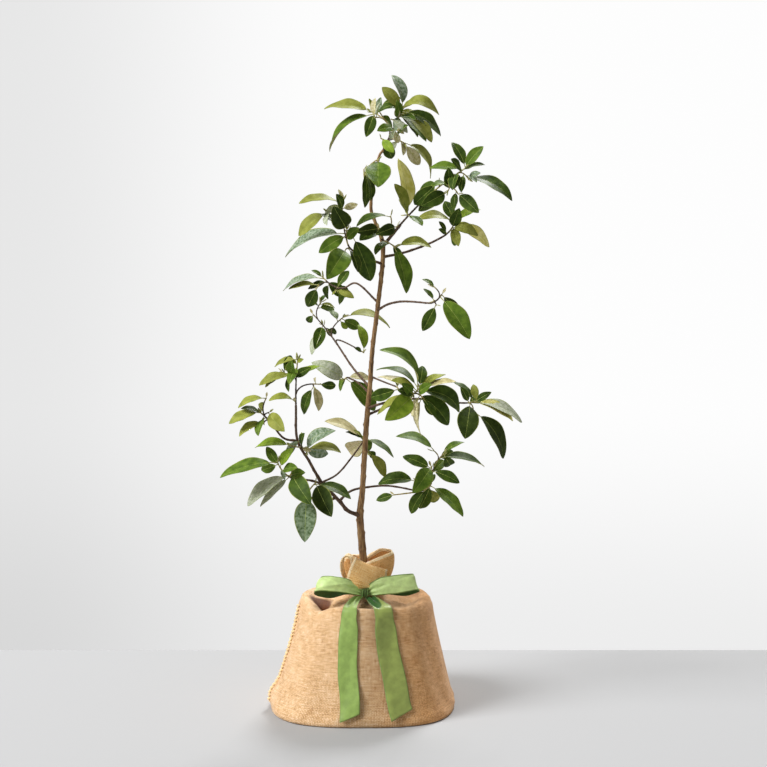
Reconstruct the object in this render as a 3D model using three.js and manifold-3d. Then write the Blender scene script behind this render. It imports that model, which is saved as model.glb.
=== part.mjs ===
// A young grafted avocado tree in a burlap-wrapped nursery pot, tied at the neck with a satin ribbon.
// Millimetres, +Z up. The origin is the centre of the flat underside; the front of the bow faces -Y.
import * as THREE from 'three';
import { mergeVertices } from 'three/addons/utils/BufferGeometryUtils.js';
import Module from 'manifold-3d';

const wasm = await Module();
wasm.setup();

// ---------------------------------------------------------------- driving dimensions

const GAP = 0.3;                    // clear space between pieces that touch in life

const SACK = {
  baseRadius: 153,                  // half the width where the burlap spreads on the ground
  soleRadius: 149,                  // radius of the flat underside
  rimRadius: 108,                   // half the width at the pot's rim
  height: 180,                      // top of the rim roll
  wallTop: 168,                     // where the wall turns into the rim roll
  drawHeight: 182,                  // height at which the wall's curve would reach the rim radius
  belly: 1.2,                       // how fast the wall draws in above the ground
  lean: 5,                          // sideways shift of the rim to the right of the base
  depth: 1.03,                      // front to back over side to side
  squareness: { base: 2.9, rim: 2.15 },   // superellipse power of the plan, 2 is round
  folds: { count: 9, depth: 1.8 },
  neckRadius: 27,                   // of the flat seat under the gathered neck
  neckSeat: 175,                    // height of that seat
  sides: 36,
};

const NECK = { waist: 23, flare: 41, hole: 15, mouth: 29, height: 80, centre: [4, 2], lobes: 5, sides: 24 };

const RIBBON = {
  width: 31,
  thick: 1.4,
  clear: 4.5,                       // between a tail and the wall behind it
  knot: { wide: 12, deep: 9, tall: 13, height: 192 },
  loops: { left: 67, right: 76, rise: 15, swell: 12 },
  // bearings of a tail at the rim and at its hem, and the hem's height
  tails: { left: [-104.5, -97.5, 10], right: [-75.5, -67, 14] },
};

const TRUNK = {
  // height of each point above the ground, its sideways place and its radius
  path: [
    [1, 0, 175.3], [1, 0, 240], [-4.5, 0, 315], [0, 2, 363], [6, 4, 465], [12, 4, 529], [16, 2, 590],
    [26, 0, 670], [34, -2, 760], [21, 0, 802], [14, 2, 832], [26, 0, 903], [34, 0, 919],
  ],
  radii: [9.2, 6.9, 6.3, 4.9, 4.8, 4.2, 4.0, 3.9, 4.0, 3.1, 2.8, 2.4, 2.2],
  sides: 8,
  steps: 30,
};

// Each bough starts inside the limb that bears it, bends through its points, and tapers between two radii.
const BOUGHS = {
  low_left: { radii: [3.7, 2.8], path: [[-4.5, 0, 316], [-24, -14, 326], [-38, -25, 344], [-69, -40, 380]] },
  left_upright: {
    radii: [2.7, 2.0], path: [[-69, -40, 380], [-87, -46, 414], [-106, -50, 450], [-108, -45, 505]],
  },
  low_right: {
    radii: [2.2, 1.6], path: [[-38, -25, 344], [-23, 0, 355], [-3, 24, 358], [42, 50, 358], [92, 65, 347]],
  },
  mid_back: { radii: [1.8, 1.4], path: [[-66, -38, 377], [-40, -15, 389], [-13, 20, 418], [2, 45, 437]] },
  left_outer: { radii: [2.1, 1.6], path: [[-106, -50, 447], [-128, -62, 454], [-146, -80, 480]] },
  left_inner: { radii: [1.9, 1.6], path: [[-100, -49, 437], [-97, -72, 440]] },
  low_outer: { radii: [2.3, 1.7], path: [[-62, -37, 371], [-80, -53, 382], [-107, -68, 387]] },
  low_front: { radii: [2.2, 1.7], path: [[-45, -28, 350], [-68, -47, 344], [-85, -62, 357]] },
  left_thin: { radii: [2.2, 1.6], path: [[10, 4, 532], [-16, 45, 558], [-43, 85, 594]] },
  left_lower: { radii: [1.8, 1.5], path: [[11, 4, 520], [-8, 22, 536], [-24, 34, 543]] },
  right_mid: { radii: [2.2, 1.5], path: [[25, 0, 658], [43, -25, 669], [68, -60, 675], [108, -100, 674]] },
  left_mid: { radii: [2.0, 1.6], path: [[26, 0, 670], [-9, 40, 700], [-31, 60, 692]] },
  left_high: { radii: [2.2, 1.8], path: [[32, -2, 734], [6, -20, 744], [-16, -40, 757]] },
  right_high: { radii: [2.5, 1.8], path: [[33, -2, 745], [72, 25, 753], [112, 50, 767], [136, 65, 779]] },
  upper_right: { radii: [3.2, 2.5], path: [[33, -2, 762], [50, -16, 783], [62, -24, 798]] },
  right_low: { radii: [2.4, 1.9], path: [[9, 4, 495], [29, -15, 504], [74, -55, 520]] },
  right_outer: { radii: [2.2, 1.6], path: [[8, 4, 484], [76, 30, 507], [130, 65, 500], [168, 78, 496]] },
  right_thin: { radii: [1.7, 1.4], path: [[13, 4, 548], [39, -14, 539], [53, -26, 535]] },
};

// Each mass of leaves continues one limb: a bough from its tip, or the trunk from the height `from`.
// A shoot is a twig's tip, then its leaves, read from the front: [bearing, reach, width, arch], with the
// bearing in degrees (0 right, 90 up), the reach in mm, and width and arch as shares of the reach.
// Where width or arch is left out, the seeded rule draws it.
const MASSES = {
  top: { limb: 'trunk', seed: 11, shoots: [
    { tip: [65, -15, 986], leaves: [[107, 57, 0.3, 0.12], [133, 47, 0.42], [34, 30, 0.3], [353, 62, 0.3, 0.3],
      [330, 76, 0.3, 0.14], [316, 70, 0.25, 0.1], [178, 36, 0.3, 0.3], [314, 62, 0.2, 0.05], [312, 46, 0.3],
      [255, 26, 0.5]] },
    { tip: [14, 20, 983], leaves: [[100, 22, 0.3], [175, 81, 0.24, 0.1], [251, 42, 0.45],
      [218, 98, 0.14, 0.16], [78, 28, 0.4]] },
    { tip: [70, -10, 929], leaves: [[306, 42, 0.45], [308, 74, 0.2, 0.2], [280, 24, 0.3], [225, 22, 0.5]] },
    { tip: [30, -8, 938], leaves: [[311, 31, 0.5], [297, 33, 0.6]] },
  ] },
  leader: { limb: 'trunk', from: 850, seed: 12, shoots: [
    { tip: [3, -24, 888], leaves: [[271, 61, 0.3], [283, 48, 0.22]] },
    { tip: [27, -26, 904], leaves: [[270, 46, 0.9, 0.03]] },
  ] },
  upper_right: { limb: 'upper_right', seed: 13, shoots: [
    { tip: [166, -72, 888], leaves: [[117, 47, 0.38], [50, 46, 0.38], [176, 53, 0.28], [14, 38, 0.2],
      [225, 32, 0.6], [248, 30, 0.5]] },
    { tip: [72, -32, 814], leaves: [[99, 93, 0.25, 0.06], [114, 55, 0.28], [120, 30, 0.3]] },
    { tip: [171, -68, 869], leaves: [[28, 20], [332, 80, 0.24, 0.12], [325, 20], [262, 30, 0.4]] },
    { tip: [154, -64, 847], leaves: [[316, 45, 0.5], [262, 30, 0.4]] },
    { tip: [136, -60, 849], leaves: [[208, 48, 0.5], [215, 58, 0.4], [95, 31, 0.55]] },
    { tip: [122, -64, 866], leaves: [[222, 52, 0.45], [203, 36]] },
  ] },
  right_high: { limb: 'right_high', seed: 14, shoots: [
    { tip: [155, 72, 804], leaves: [[116, 38, 0.5], [27, 50, 0.25, 0.12], [173, 62, 0.2, 0.18],
      [329, 72, 0.28, 0.12], [285, 34, 0.5], [72, 34, 0.6], [345, 46, 0.4, 0.2]] },
    { tip: [140, 66, 784], leaves: [[123, 24, 0.3], [150, 16]] },
  ] },
  middle: { limb: 'trunk', from: 768, seed: 15, shoots: [
    { tip: [28, -19, 793], leaves: [[188, 38, 0.55], [205, 36]] },
    { tip: [57, -26, 795], leaves: [[200, 36, 0.55], [330, 28, 0.35]] },
    { tip: [46, -24, 812], leaves: [[196, 58, 0.18, 0.14]] },
    { tip: [56, -20, 761], leaves: [[359, 58, 0.24, 0.15], [285, 79, 0.32], [300, 30, 0.4], [190, 18]] },
  ] },
  left_high: { limb: 'left_high', seed: 16, shoots: [
    { tip: [-24, -50, 791], leaves: [[118, 42, 0.75], [146, 50, 0.2], [201, 108, 0.14, 0.13], [212, 52, 0.42],
      [190, 30, 0.4]] },
    { tip: [-31, -55, 837], leaves: [[110, 20, 0.3], [180, 69, 0.15, 0.12], [203, 30, 0.4], [15, 26, 0.45]] },
    { tip: [-55, -60, 818], leaves: [[218, 62, 0.32, 0.06], [255, 22]] },
    { tip: [-15, -46, 781], leaves: [[292, 80, 0.42]] },
    { tip: [-27, -46, 758], leaves: [[238, 55, 0.68], [293, 42, 0.3]] },
  ] },
  left_mid: { limb: 'left_mid', seed: 17, shoots: [
    { tip: [-69, 78, 711], leaves: [[150, 22, 0.3], [197, 74, 0.13, 0.14], [322, 46, 0.45], [200, 36, 0.3]] },
    { tip: [-77, 70, 693], leaves: [[242, 40, 0.55], [188, 53, 0.14]] },
    { tip: [-47, 66, 687], leaves: [[338, 34, 0.35], [56, 36, 0.4], [338, 20]] },
  ] },
  right_mid: { limb: 'right_mid', seed: 18, shoots: [
    { tip: [127, -112, 689], leaves: [[315, 38, 0.45], [305, 80, 0.4, 0.04]] },
    { tip: [115, -116, 700], leaves: [[147, 24, 0.25]] },
    { tip: [118, -110, 671], leaves: [[242, 46, 0.45]] },
    { tip: [114, -112, 679], leaves: [[133, 25, 0.28]] },
  ] },
  left_thin: { limb: 'left_thin', seed: 19, shoots: [
    { tip: [-70, 118, 627], leaves: [[252, 42, 0.5], [307, 22, 0.4], [243, 50, 0.22], [338, 18]] },
    { tip: [-33, 110, 641], leaves: [[346, 82, 0.11, 0.17], [331, 36, 0.5], [308, 20, 0.5]] },
    { tip: [-86, 112, 645], leaves: [[230, 18, 0.7]] },
    { tip: [-72, 122, 666], leaves: [[60, 14], [345, 27, 0.2], [150, 14]] },
    { tip: [2, 46, 584], leaves: [[101, 47, 0.33, 0.1], [150, 14]] },
  ] },
  left_lower: { limb: 'left_lower', seed: 20, shoots: [
    { tip: [-32, 38, 538], leaves: [[150, 62, 0.42, 0.16], [311, 75, 0.38], [354, 40, 0.3, 0.1]] },
  ] },
  left_upright: { limb: 'left_upright', seed: 21, shoots: [
    { tip: [-105, -36, 580], leaves: [[198, 41, 0.2, 0.14], [30, 12], [150, 12]] },
    { tip: [-129, -42, 557], leaves: [[68, 30, 0.5], [205, 49, 0.28], [212, 44, 0.2], [268, 28, 0.3],
      [195, 36, 0.3]] },
    { tip: [-112, -44, 550], leaves: [[30, 34, 0.42], [22, 46, 0.2]] },
    { tip: [-70, -50, 540], leaves: [[352, 28, 0.5], [90, 12]] },
    { tip: [-79, -50, 535], leaves: [[250, 50, 0.33], [283, 43, 0.3]] },
    { tip: [-109, -54, 512], leaves: [[177, 42, 0.2, 0.2]] },
  ] },
  left_outer: { limb: 'left_outer', seed: 22, shoots: [
    { tip: [-163, -92, 499], leaves: [[198, 52, 0.26, 0.12], [163, 35, 0.15], [270, 16, 0.3]] },
    { tip: [-153, -88, 522], leaves: [[198, 46, 0.22, 0.14], [250, 20]] },
    { tip: [-158, -90, 481], leaves: [[208, 44, 0.28, 0.14]] },
    { tip: [-149, -86, 498], leaves: [[318, 38, 0.62]] },
  ] },
  left_inner: { limb: 'left_inner', seed: 23, shoots: [
    { tip: [-88, -86, 433], leaves: [[38, 60, 0.3, 0.22], [359, 58, 0.18, 0.14], [343, 40, 0.5], [345, 14]] },
    { tip: [-114, -86, 444], leaves: [[185, 61, 0.2, 0.12]] },
    { tip: [-98, -80, 455], leaves: [[233, 44, 0.28]] },
  ] },
  low_left: { limb: 'low_outer', seed: 24, shoots: [
    { tip: [-136, -86, 418], leaves: [[193, 93, 0.17, 0.08], [205, 32, 0.5], [126, 36, 0.45], [55, 40, 0.35],
      [290, 18, 0.4]] },
    { tip: [-113, -78, 399], leaves: [[309, 53, 0.62], [215, 82, 0.22, 0.1], [225, 66, 0.18, 0.02]] },
  ] },
  low_front: { limb: 'low_front', seed: 25, shoots: [
    { tip: [-91, -67, 360], leaves: [[269, 67, 0.54], [243, 34, 0.5]] },
    { tip: [-75, -62, 381], leaves: [[301, 54, 0.6], [341, 64, 0.2, 0.12]] },
  ] },
  mid_back: { limb: 'mid_back', seed: 26, shoots: [
    { tip: [0, 62, 434], leaves: [[152, 73, 0.14, 0.12], [140, 25, 0.12], [158, 34, 0.2], [228, 42, 0.75],
      [328, 57, 0.14, 0.1]] },
    { tip: [8, 62, 412], leaves: [[304, 53, 0.33], [312, 20]] },
  ] },
  right_low: { limb: 'right_low', seed: 27, shoots: [
    { tip: [93, -72, 537], leaves: [[80, 33, 0.55], [26, 48, 0.2, 0.1], [157, 74, 0.1, 0.2],
      [14, 62, 0.1, 0.06], [132, 91, 0.13, 0.24], [156, 45, 0.2], [333, 79, 0.3, 0.2], [160, 66, 0.16, 0.1],
      [315, 78, 0.36, 0.08], [160, 25, 0.5]] },
    { tip: [100, -72, 518], leaves: [[303, 34, 0.45], [270, 66, 0.14], [250, 36, 0.25]] },
    { tip: [82, -62, 522], leaves: [[217, 56, 0.62], [263, 21, 0.25], [211, 66, 0.12]] },
  ] },
  right_inner: { limb: 'right_thin', seed: 28, shoots: [
    { tip: [60, -34, 530], leaves: [[199, 48, 0.45], [95, 18, 0.4]] },
  ] },
  right_outer: { limb: 'right_outer', seed: 29, shoots: [
    { tip: [194, 85, 498], leaves: [[100, 28, 0.5], [33, 32, 0.4], [137, 49, 0.18, 0.1], [334, 79, 0.2, 0.12],
      [337, 96, 0.13, 0.12], [258, 55, 0.68], [118, 32, 0.4]] },
    { tip: [188, 84, 480], leaves: [[302, 101, 0.24, 0.12]] },
  ] },
  low_right: { limb: 'low_right', seed: 30, shoots: [
    { tip: [117, 78, 358], leaves: [[248, 50, 0.45], [318, 75, 0.25, 0.08], [297, 34, 0.6],
      [240, 53, 0.35]] },
    { tip: [116, 80, 388], leaves: [[229, 50, 0.62], [159, 53, 0.34], [338, 50, 0.35]] },
    { tip: [138, 84, 408], leaves: [[300, 28, 0.7], [29, 45, 0.2, 0.12], [346, 80, 0.13, 0.1]] },
    { tip: [121, 84, 413], leaves: [[157, 72, 0.17, 0.16]] },
    { tip: [92, 82, 361], leaves: [[186, 68, 0.26, 0.12]] },
    { tip: [53, 78, 338], leaves: [[199, 34, 0.4]] },
  ] },
};

const LEAF = {
  shape: 0.42,                      // widest part over the true length
  typical: [50, 66],                // true length of a grown blade with its stalk
  longest: 84,
  least: 1.04,                      // true length over the reach, at least
  foreshorten: 1.5,                 // and at most, where the width is left out
  roll: [15, 70],                   // turn about its length, in degrees, where the width is left out
  arch: [0.06, 0.14],
  fold: 0.22,                       // rise of each edge over half the width
  thick: 1.2,
  stalk: 0.8,                       // half the width of the stalk
  spacing: 4,                       // between leaves along a shoot, at most
  cluster: 16,                      // length of shoot that bears leaves, at most
  // share of the length and of the full width at each ring, for a grown leaf and for a young one
  rings: [[0.14, 0.05], [0.4, 0.97], [0.74, 0.84]],
  youngRings: [[0.14, 0.1], [0.55, 1]],
  young: 36,                        // reach below which a leaf is a young one
  extra: 28,                        // reach of one more leaf on a leafy shoot, pointing to its back or front
  clear: { limb: 2.2, leaf: 5 },    // free space round a leaf's own points
};

const TWIG = { tipRadius: 1, sides: 3, steps: 3, setback: 0.45, follow: 0.45 };

const COLOURS = {
  bark: '#5d4532', foliage: '#3f6b23', burlap: '#b98f5c', ribbon: '#6a9b45',
};

// ---------------------------------------------------------------- solids from rings of points

const vector = ([x, y, z]) => new THREE.Vector3(x, y, z);
const mix = (a, b, t) => a + (b - a) * t;
const radians = THREE.MathUtils.degToRad;
const perpendicular = (v, axis) => v.addScaledVector(axis, -v.dot(axis)).normalize();

// Faces of a closed body from points and triangle corners.
function body(points, index) {
  const geometry = new THREE.BufferGeometry();
  geometry.setAttribute('position', new THREE.Float32BufferAttribute(points.flatMap((p) => p.toArray()), 3));
  geometry.setIndex(index);
  return geometry;
}

// A body through rings of equal size, shut by a fan to the point `first` and a fan to the point `last`.
function loft(rings, first, last) {
  const size = rings[0].length;
  const head = rings.length * size;
  const tail = head + 1;
  const index = [];
  for (let i = 0; i < size; i++) {
    const j = (i + 1) % size;
    index.push(head, j, i);
    for (let low = 0; low + size < head; low += size) {
      const high = low + size;
      index.push(low + i, low + j, high + j, low + i, high + j, high + i);
    }
    index.push(tail, head - size + i, head - size + j);
  }
  return body([...rings.flat(), first, last], index);
}

// A body whose rings also join the last to the first, such as a collar.
function hoop(rings) {
  const size = rings[0].length;
  const index = [];
  rings.forEach((ring, k) => {
    const low = k * size;
    const high = ((k + 1) % rings.length) * size;
    for (let i = 0; i < size; i++) {
      const j = (i + 1) % size;
      index.push(low + i, low + j, high + j, low + i, high + j, high + i);
    }
  });
  return body(rings.flat(), index);
}

// A round limb along a curve; radius(t) is its radius at the share t of the length.
function limb(curve, radius, sides, steps) {
  const frames = curve.computeFrenetFrames(steps, false);
  const rings = [];
  for (let k = 0; k <= steps; k++) {
    const centre = curve.getPointAt(k / steps);
    const ring = [];
    for (let i = 0; i < sides; i++) {
      const turn = (2 * Math.PI * i) / sides;
      ring.push(centre.clone()
        .addScaledVector(frames.normals[k], radius(k / steps) * Math.cos(turn))
        .addScaledVector(frames.binormals[k], radius(k / steps) * Math.sin(turn)));
    }
    rings.push(ring);
  }
  return loft(rings, curve.getPointAt(0), curve.getPointAt(1));
}

// A flat ribbon through points, with the direction and size of its width at each of them.
function band(points, across, widths) {
  const rings = points.map((point, k) => {
    const next = points[Math.min(k + 1, points.length - 1)];
    const ahead = next.clone().sub(points[Math.max(k - 1, 0)]).normalize();
    const side = perpendicular(across[k].clone(), ahead);
    const face = new THREE.Vector3().crossVectors(ahead, side);
    const corner = (s, f) => point.clone()
      .addScaledVector(side, (s * widths[k]) / 2)
      .addScaledVector(face, (f * RIBBON.thick) / 2);
    return [corner(-1, -1), corner(1, -1), corner(1, 1), corner(-1, 1)];
  });
  return loft(rings, points[0], points[points.length - 1]);
}

function toSolid(geometry) {
  const merged = mergeVertices(geometry, 1e-5);
  return new wasm.Manifold(new wasm.Mesh({
    numProp: 3,
    vertProperties: new Float32Array(merged.attributes.position.array),
    triVerts: new Uint32Array(merged.index.array),
  }));
}

// The largest connected skin of a solid, so loose scraps are dropped and sealed hollows are filled.
function toGeometry(solid) {
  const skins = solid.decompose().sort((a, b) => b.volume() - a.volume());
  const mesh = skins[0].getMesh();
  const geometry = new THREE.BufferGeometry();
  geometry.setAttribute('position', new THREE.Float32BufferAttribute(mesh.vertProperties, 3));
  geometry.setIndex(Array.from(mesh.triVerts));
  return geometry;
}

// ---------------------------------------------------------------- burlap wrap round the pot

// Half-width of the burlap's wall at a height above the ground.
function wallRadius(z) {
  return mix(SACK.rimRadius, SACK.baseRadius, (1 - z / SACK.drawHeight) ** SACK.belly);
}

// A point of the wrap: `radius` before the plan's squareness and the soft folds are applied.
function sackPoint(angle, radius, z) {
  const rise = Math.min(z / SACK.height, 1);
  const power = mix(SACK.squareness.base, SACK.squareness.rim, rise);
  const round = (Math.abs(Math.cos(angle)) ** power + Math.abs(Math.sin(angle)) ** power) ** (-1 / power);
  const share = Math.min(radius / SACK.rimRadius, 1) ** 2;
  const fold = SACK.folds.depth * share * Math.sin(SACK.folds.count * angle + 3 * rise);
  const r = radius * mix(1, round, share) + fold * Math.min(z / 12, 1);
  return new THREE.Vector3(r * Math.cos(angle) + SACK.lean * rise, r * SACK.depth * Math.sin(angle), z);
}

function sackPot() {
  const wall = [4, 24, 56, 92, 130, SACK.wallTop].map((z) => [wallRadius(z), z]);
  const rim = [[104, SACK.height - 3], [97, SACK.height], [86, 177], [66, 171], [42, 170]];
  const profile = [[SACK.soleRadius, 0], ...wall, ...rim, [SACK.neckRadius, SACK.neckSeat]];
  const rings = profile.map(([radius, z]) => {
    const ring = [];
    for (let i = 0; i < SACK.sides; i++) ring.push(sackPoint((2 * Math.PI * i) / SACK.sides, radius, z));
    return ring;
  });
  const top = new THREE.Vector3(SACK.lean, 0, SACK.neckSeat);
  return loft(rings, new THREE.Vector3(0, 0, 0), top);
}

// The gathered mouth of the wrap: a lobed collar round the trunk, flaring above the ribbon.
function sackNeck() {
  const [cx, cy] = NECK.centre;
  const rings = [];
  for (let i = 0; i < NECK.sides; i++) {
    const angle = (2 * Math.PI * i) / NECK.sides;
    const lobe = Math.sin(NECK.lobes * angle + 0.6);
    const crest = NECK.height * (0.93 + 0.07 * Math.sin(2 * angle - 1.2));
    const place = (r, z) => new THREE.Vector3(cx + r * Math.cos(angle), cy + r * Math.sin(angle), z);
    const bottom = SACK.neckSeat + GAP;
    rings.push([
      place(NECK.hole, bottom),
      place(NECK.hole + 2, bottom + crest * 0.45),
      place(NECK.mouth - 6 + 3 * lobe, bottom + crest * 0.8),
      place(NECK.mouth + 3 * lobe, bottom + crest * 0.97),
      place(NECK.flare - 4 + 5 * lobe, bottom + crest),
      place(NECK.flare + 5 * lobe, bottom + crest * 0.86),
      place(mix(NECK.waist, NECK.flare, 0.7) + 3 * lobe, bottom + crest * 0.58),
      place(NECK.waist, bottom + 26),
      place(NECK.waist, bottom),
    ]);
  }
  return hoop(rings);
}

// ---------------------------------------------------------------- ribbon

function ribbonBand() {
  const [cx, cy] = NECK.centre;
  const inner = NECK.waist + GAP;
  const outer = inner + RIBBON.thick;
  const low = RIBBON.knot.height - 9;
  const high = RIBBON.knot.height + 9;
  const rings = [];
  for (let i = 0; i < NECK.sides; i++) {
    const angle = (2 * Math.PI * i) / NECK.sides;
    const place = (r, z) => new THREE.Vector3(cx + r * Math.cos(angle), cy + r * Math.sin(angle), z);
    rings.push([place(inner, low), place(inner, high), place(outer, high), place(outer, low)]);
  }
  return hoop(rings);
}

// The front of the band, where the knot, the loops and the tails start.
const bowFront = NECK.centre[1] - NECK.waist - RIBBON.thick - 2 * GAP;

// The knot is a plump pad in front of the band.
function ribbonKnot() {
  const { wide, deep, tall, height } = RIBBON.knot;
  const geometry = new THREE.SphereGeometry(1, 12, 8);
  geometry.scale(wide, deep, tall);
  geometry.translate(NECK.centre[0], bowFront - deep, height);
  return geometry;
}

// A loop of the bow: out along the front, round its end and back, as a teardrop seen from above.
function ribbonLoop(side, length) {
  const { wide, deep, height } = RIBBON.knot;
  const { rise, swell } = RIBBON.loops;
  const steps = 16;
  const points = [];
  for (let k = 0; k <= steps; k++) {
    const t = k / steps;
    const out = Math.sin(Math.PI * t) ** 0.75;
    const open = Math.sin(2 * Math.PI * t) * (0.5 + 0.5 * out);
    points.push(new THREE.Vector3(
      NECK.centre[0] + side * (wide + 1.5 + length * out),
      bowFront - deep - 3 * (1 - 2 * t) - swell * (open + out),
      height + rise * out,
    ));
  }
  const upright = new THREE.Vector3(side * 0.1, -0.22, 1);
  return band(points, points.map(() => upright), points.map(() => RIBBON.width));
}

// A tail widens from the knot to the rim, goes over it and hangs down the wall.
function ribbonTail(side, [rimTurn, hemTurn, hemHeight]) {
  const start = new THREE.Vector3(
    NECK.centre[0] + side * 9, bowFront - RIBBON.knot.deep, RIBBON.knot.height - RIBBON.knot.tall - 1);
  const points = [start];
  for (const [radius, z] of [[72, 181], [98, 185], [110, 181], [115, 171]]) {
    points.push(sackPoint(radians(rimTurn), radius, z));
  }
  const drops = 7;
  for (let k = 1; k <= drops; k++) {
    const z = mix(SACK.wallTop - 8, hemHeight, k / drops);
    points.push(sackPoint(radians(mix(rimTurn, hemTurn, k / drops)), wallRadius(z) + RIBBON.clear, z));
  }
  const widths = points.map((_, k) => RIBBON.width * Math.min(0.4 + 0.17 * k, 1));
  return band(points, points.map(() => new THREE.Vector3(1, 0, 0)), widths);
}

// ---------------------------------------------------------------- trunk and boughs

// A limb's curve, its radius by share of the length, and its solid at that girth or a little fatter.
function describeLimb(path, radii, sides, steps) {
  const curve = new THREE.CatmullRomCurve3(path.map(vector), false, 'catmullrom', 0.5);
  const stops = radiusStops(curve, radii.length);
  const radius = (share) => {
    let k = 0;
    while (k < stops.length - 2 && stops[k + 1] < share) k++;
    const t = THREE.MathUtils.clamp((share - stops[k]) / (stops[k + 1] - stops[k]), 0, 1);
    return mix(radii[k], radii[k + 1], t);
  };
  const fatter = (extra) => toSolid(limb(curve, (share) => radius(share) + extra, sides, steps));
  return { curve, radius, fatter };
}

// The shares of a curve's length at which its radii are given: one for each of its points, or its two ends.
function radiusStops(curve, count) {
  const divisions = 20 * (count - 1);
  const lengths = curve.getLengths(divisions);
  return Array.from({ length: count }, (_, k) => lengths[20 * k] / lengths[divisions]);
}

const limbs = { trunk: describeLimb(TRUNK.path, TRUNK.radii, TRUNK.sides, TRUNK.steps) };
for (const [name, { path, radii }] of Object.entries(BOUGHS)) {
  limbs[name] = describeLimb(path, radii, 6, 3 * (path.length - 1));
}

// Every limb is cut back to stand clear of the limbs made before it.
function cutClear(solid, others) {
  return others.reduce((left, other) => left.subtract(other.fatter(GAP)), solid);
}

// ---------------------------------------------------------------- masses of leaves

// A repeatable stream of numbers from 0 to 1.
function stream(seed) {
  let state = seed * 7919;
  return () => {
    state = (state * 1664525 + 1013904223) % 4294967296;
    return state / 4294967296;
  };
}

// One leaf: its middle line from base to tip, the side its upper face looks to, and its true width.
// A leaf that looks narrow is turned about its own length, and one that looks broad points forwards
// (side -1) or backwards.
function describeLeaf(base, [bearing, reach, seen, arch], side, draws) {
  const drawn = seen === undefined;
  const wanted = drawn ? mix(...LEAF.typical, draws[0]) : (seen * reach) / LEAF.shape;
  const most = drawn ? reach * LEAF.foreshorten : LEAF.longest;
  const length = Math.max(Math.min(wanted, most), reach * LEAF.least);
  const width = drawn ? LEAF.shape * length : Math.max(seen * reach, LEAF.shape * length);
  const roll = drawn ? radians(mix(...LEAF.roll, draws[1])) : Math.acos((seen * reach) / width);
  const turn = radians(bearing);
  const chord = new THREE.Vector3(
    reach * Math.cos(turn), side * Math.sqrt(length ** 2 - reach ** 2), reach * Math.sin(turn));
  const front = perpendicular(new THREE.Vector3(0, -1, 0), chord.clone().normalize());
  const sky = new THREE.Vector3(-Math.sin(turn), 0, Math.cos(turn));
  if (sky.z < 0) sky.negate();
  const up = front.multiplyScalar(Math.cos(roll)).addScaledVector(sky, Math.sin(roll));
  const hidden = Math.max(Math.sin(roll), 0.5);
  const rise = arch === undefined ? mix(...LEAF.arch, draws[2]) * length : (arch * reach) / hidden;
  const crest = base.clone().addScaledVector(chord, 0.5).addScaledVector(up, 2 * rise);
  const spine = new THREE.QuadraticBezierCurve3(base, crest, base.clone().add(chord));
  return { spine, up, width, rings: reach < LEAF.young ? LEAF.youngRings : LEAF.rings };
}

// A leaf's thin blade, folded along its midrib, on a stalk that starts at the twig's core.
function leafBlade({ spine, up, width, rings }) {
  const sections = rings.map(([t, share]) => {
    const point = spine.getPoint(t);
    const along = spine.getTangent(t);
    const top = perpendicular(up.clone(), along);
    const across = new THREE.Vector3().crossVectors(top, along);
    const half = Math.max(share * width / 2, LEAF.stalk);
    const lift = LEAF.fold * half;
    const edge = (s) => point.clone().addScaledVector(across, s * half).addScaledVector(top, lift);
    const rib = (s) => point.clone().addScaledVector(top, s * LEAF.thick / 2);
    return [edge(1), rib(1), edge(-1), rib(-1)];
  });
  return loft(sections, spine.getPoint(0), spine.getPoint(1));
}

// Points spread over a leaf, for telling whether it is clear of other things.
function leafPoints({ spine, up, width }) {
  const points = [];
  for (const t of [0.3, 0.42, 0.55, 0.68, 0.8, 0.9, 1]) {
    const half = (t > 0.85 ? 0.2 : 0.42) * width;
    const across = new THREE.Vector3().crossVectors(up, spine.getTangent(t)).normalize();
    for (const s of [-1, 0, 1]) points.push(spine.getPoint(t).addScaledVector(across, s * half));
  }
  return points;
}

// A twig leaves the nearest earlier one a little before its nearest point, and bends to its own tip.
function describeTwig(tip, parents) {
  let best = null;
  for (const parent of parents) {
    for (let u = 0.1; u <= 1; u += 0.05) {
      const gap = parent.curve.getPointAt(u).distanceTo(tip);
      if (!best || gap < best.gap) best = { parent, u, gap };
    }
  }
  const back = (TWIG.setback * best.gap) / best.parent.curve.getLength();
  const u = Math.max(best.u - back, 0.08);
  const start = best.parent.curve.getPointAt(u);
  const ahead = best.parent.curve.getTangentAt(u);
  return bentTwig(start, ahead, tip, best.parent.radius(u) * 0.9);
}

function bentTwig(start, ahead, tip, startRadius) {
  const straight = tip.clone().sub(start);
  const bend = start.clone()
    .addScaledVector(ahead, straight.length() * TWIG.follow)
    .addScaledVector(straight, 0.1);
  const curve = new THREE.QuadraticBezierCurve3(start, bend, tip);
  const thin = Math.min(startRadius, 1.6);
  return { curve, radius: (t) => mix(t === 0 ? startRadius : thin, TWIG.tipRadius, t) };
}

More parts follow.
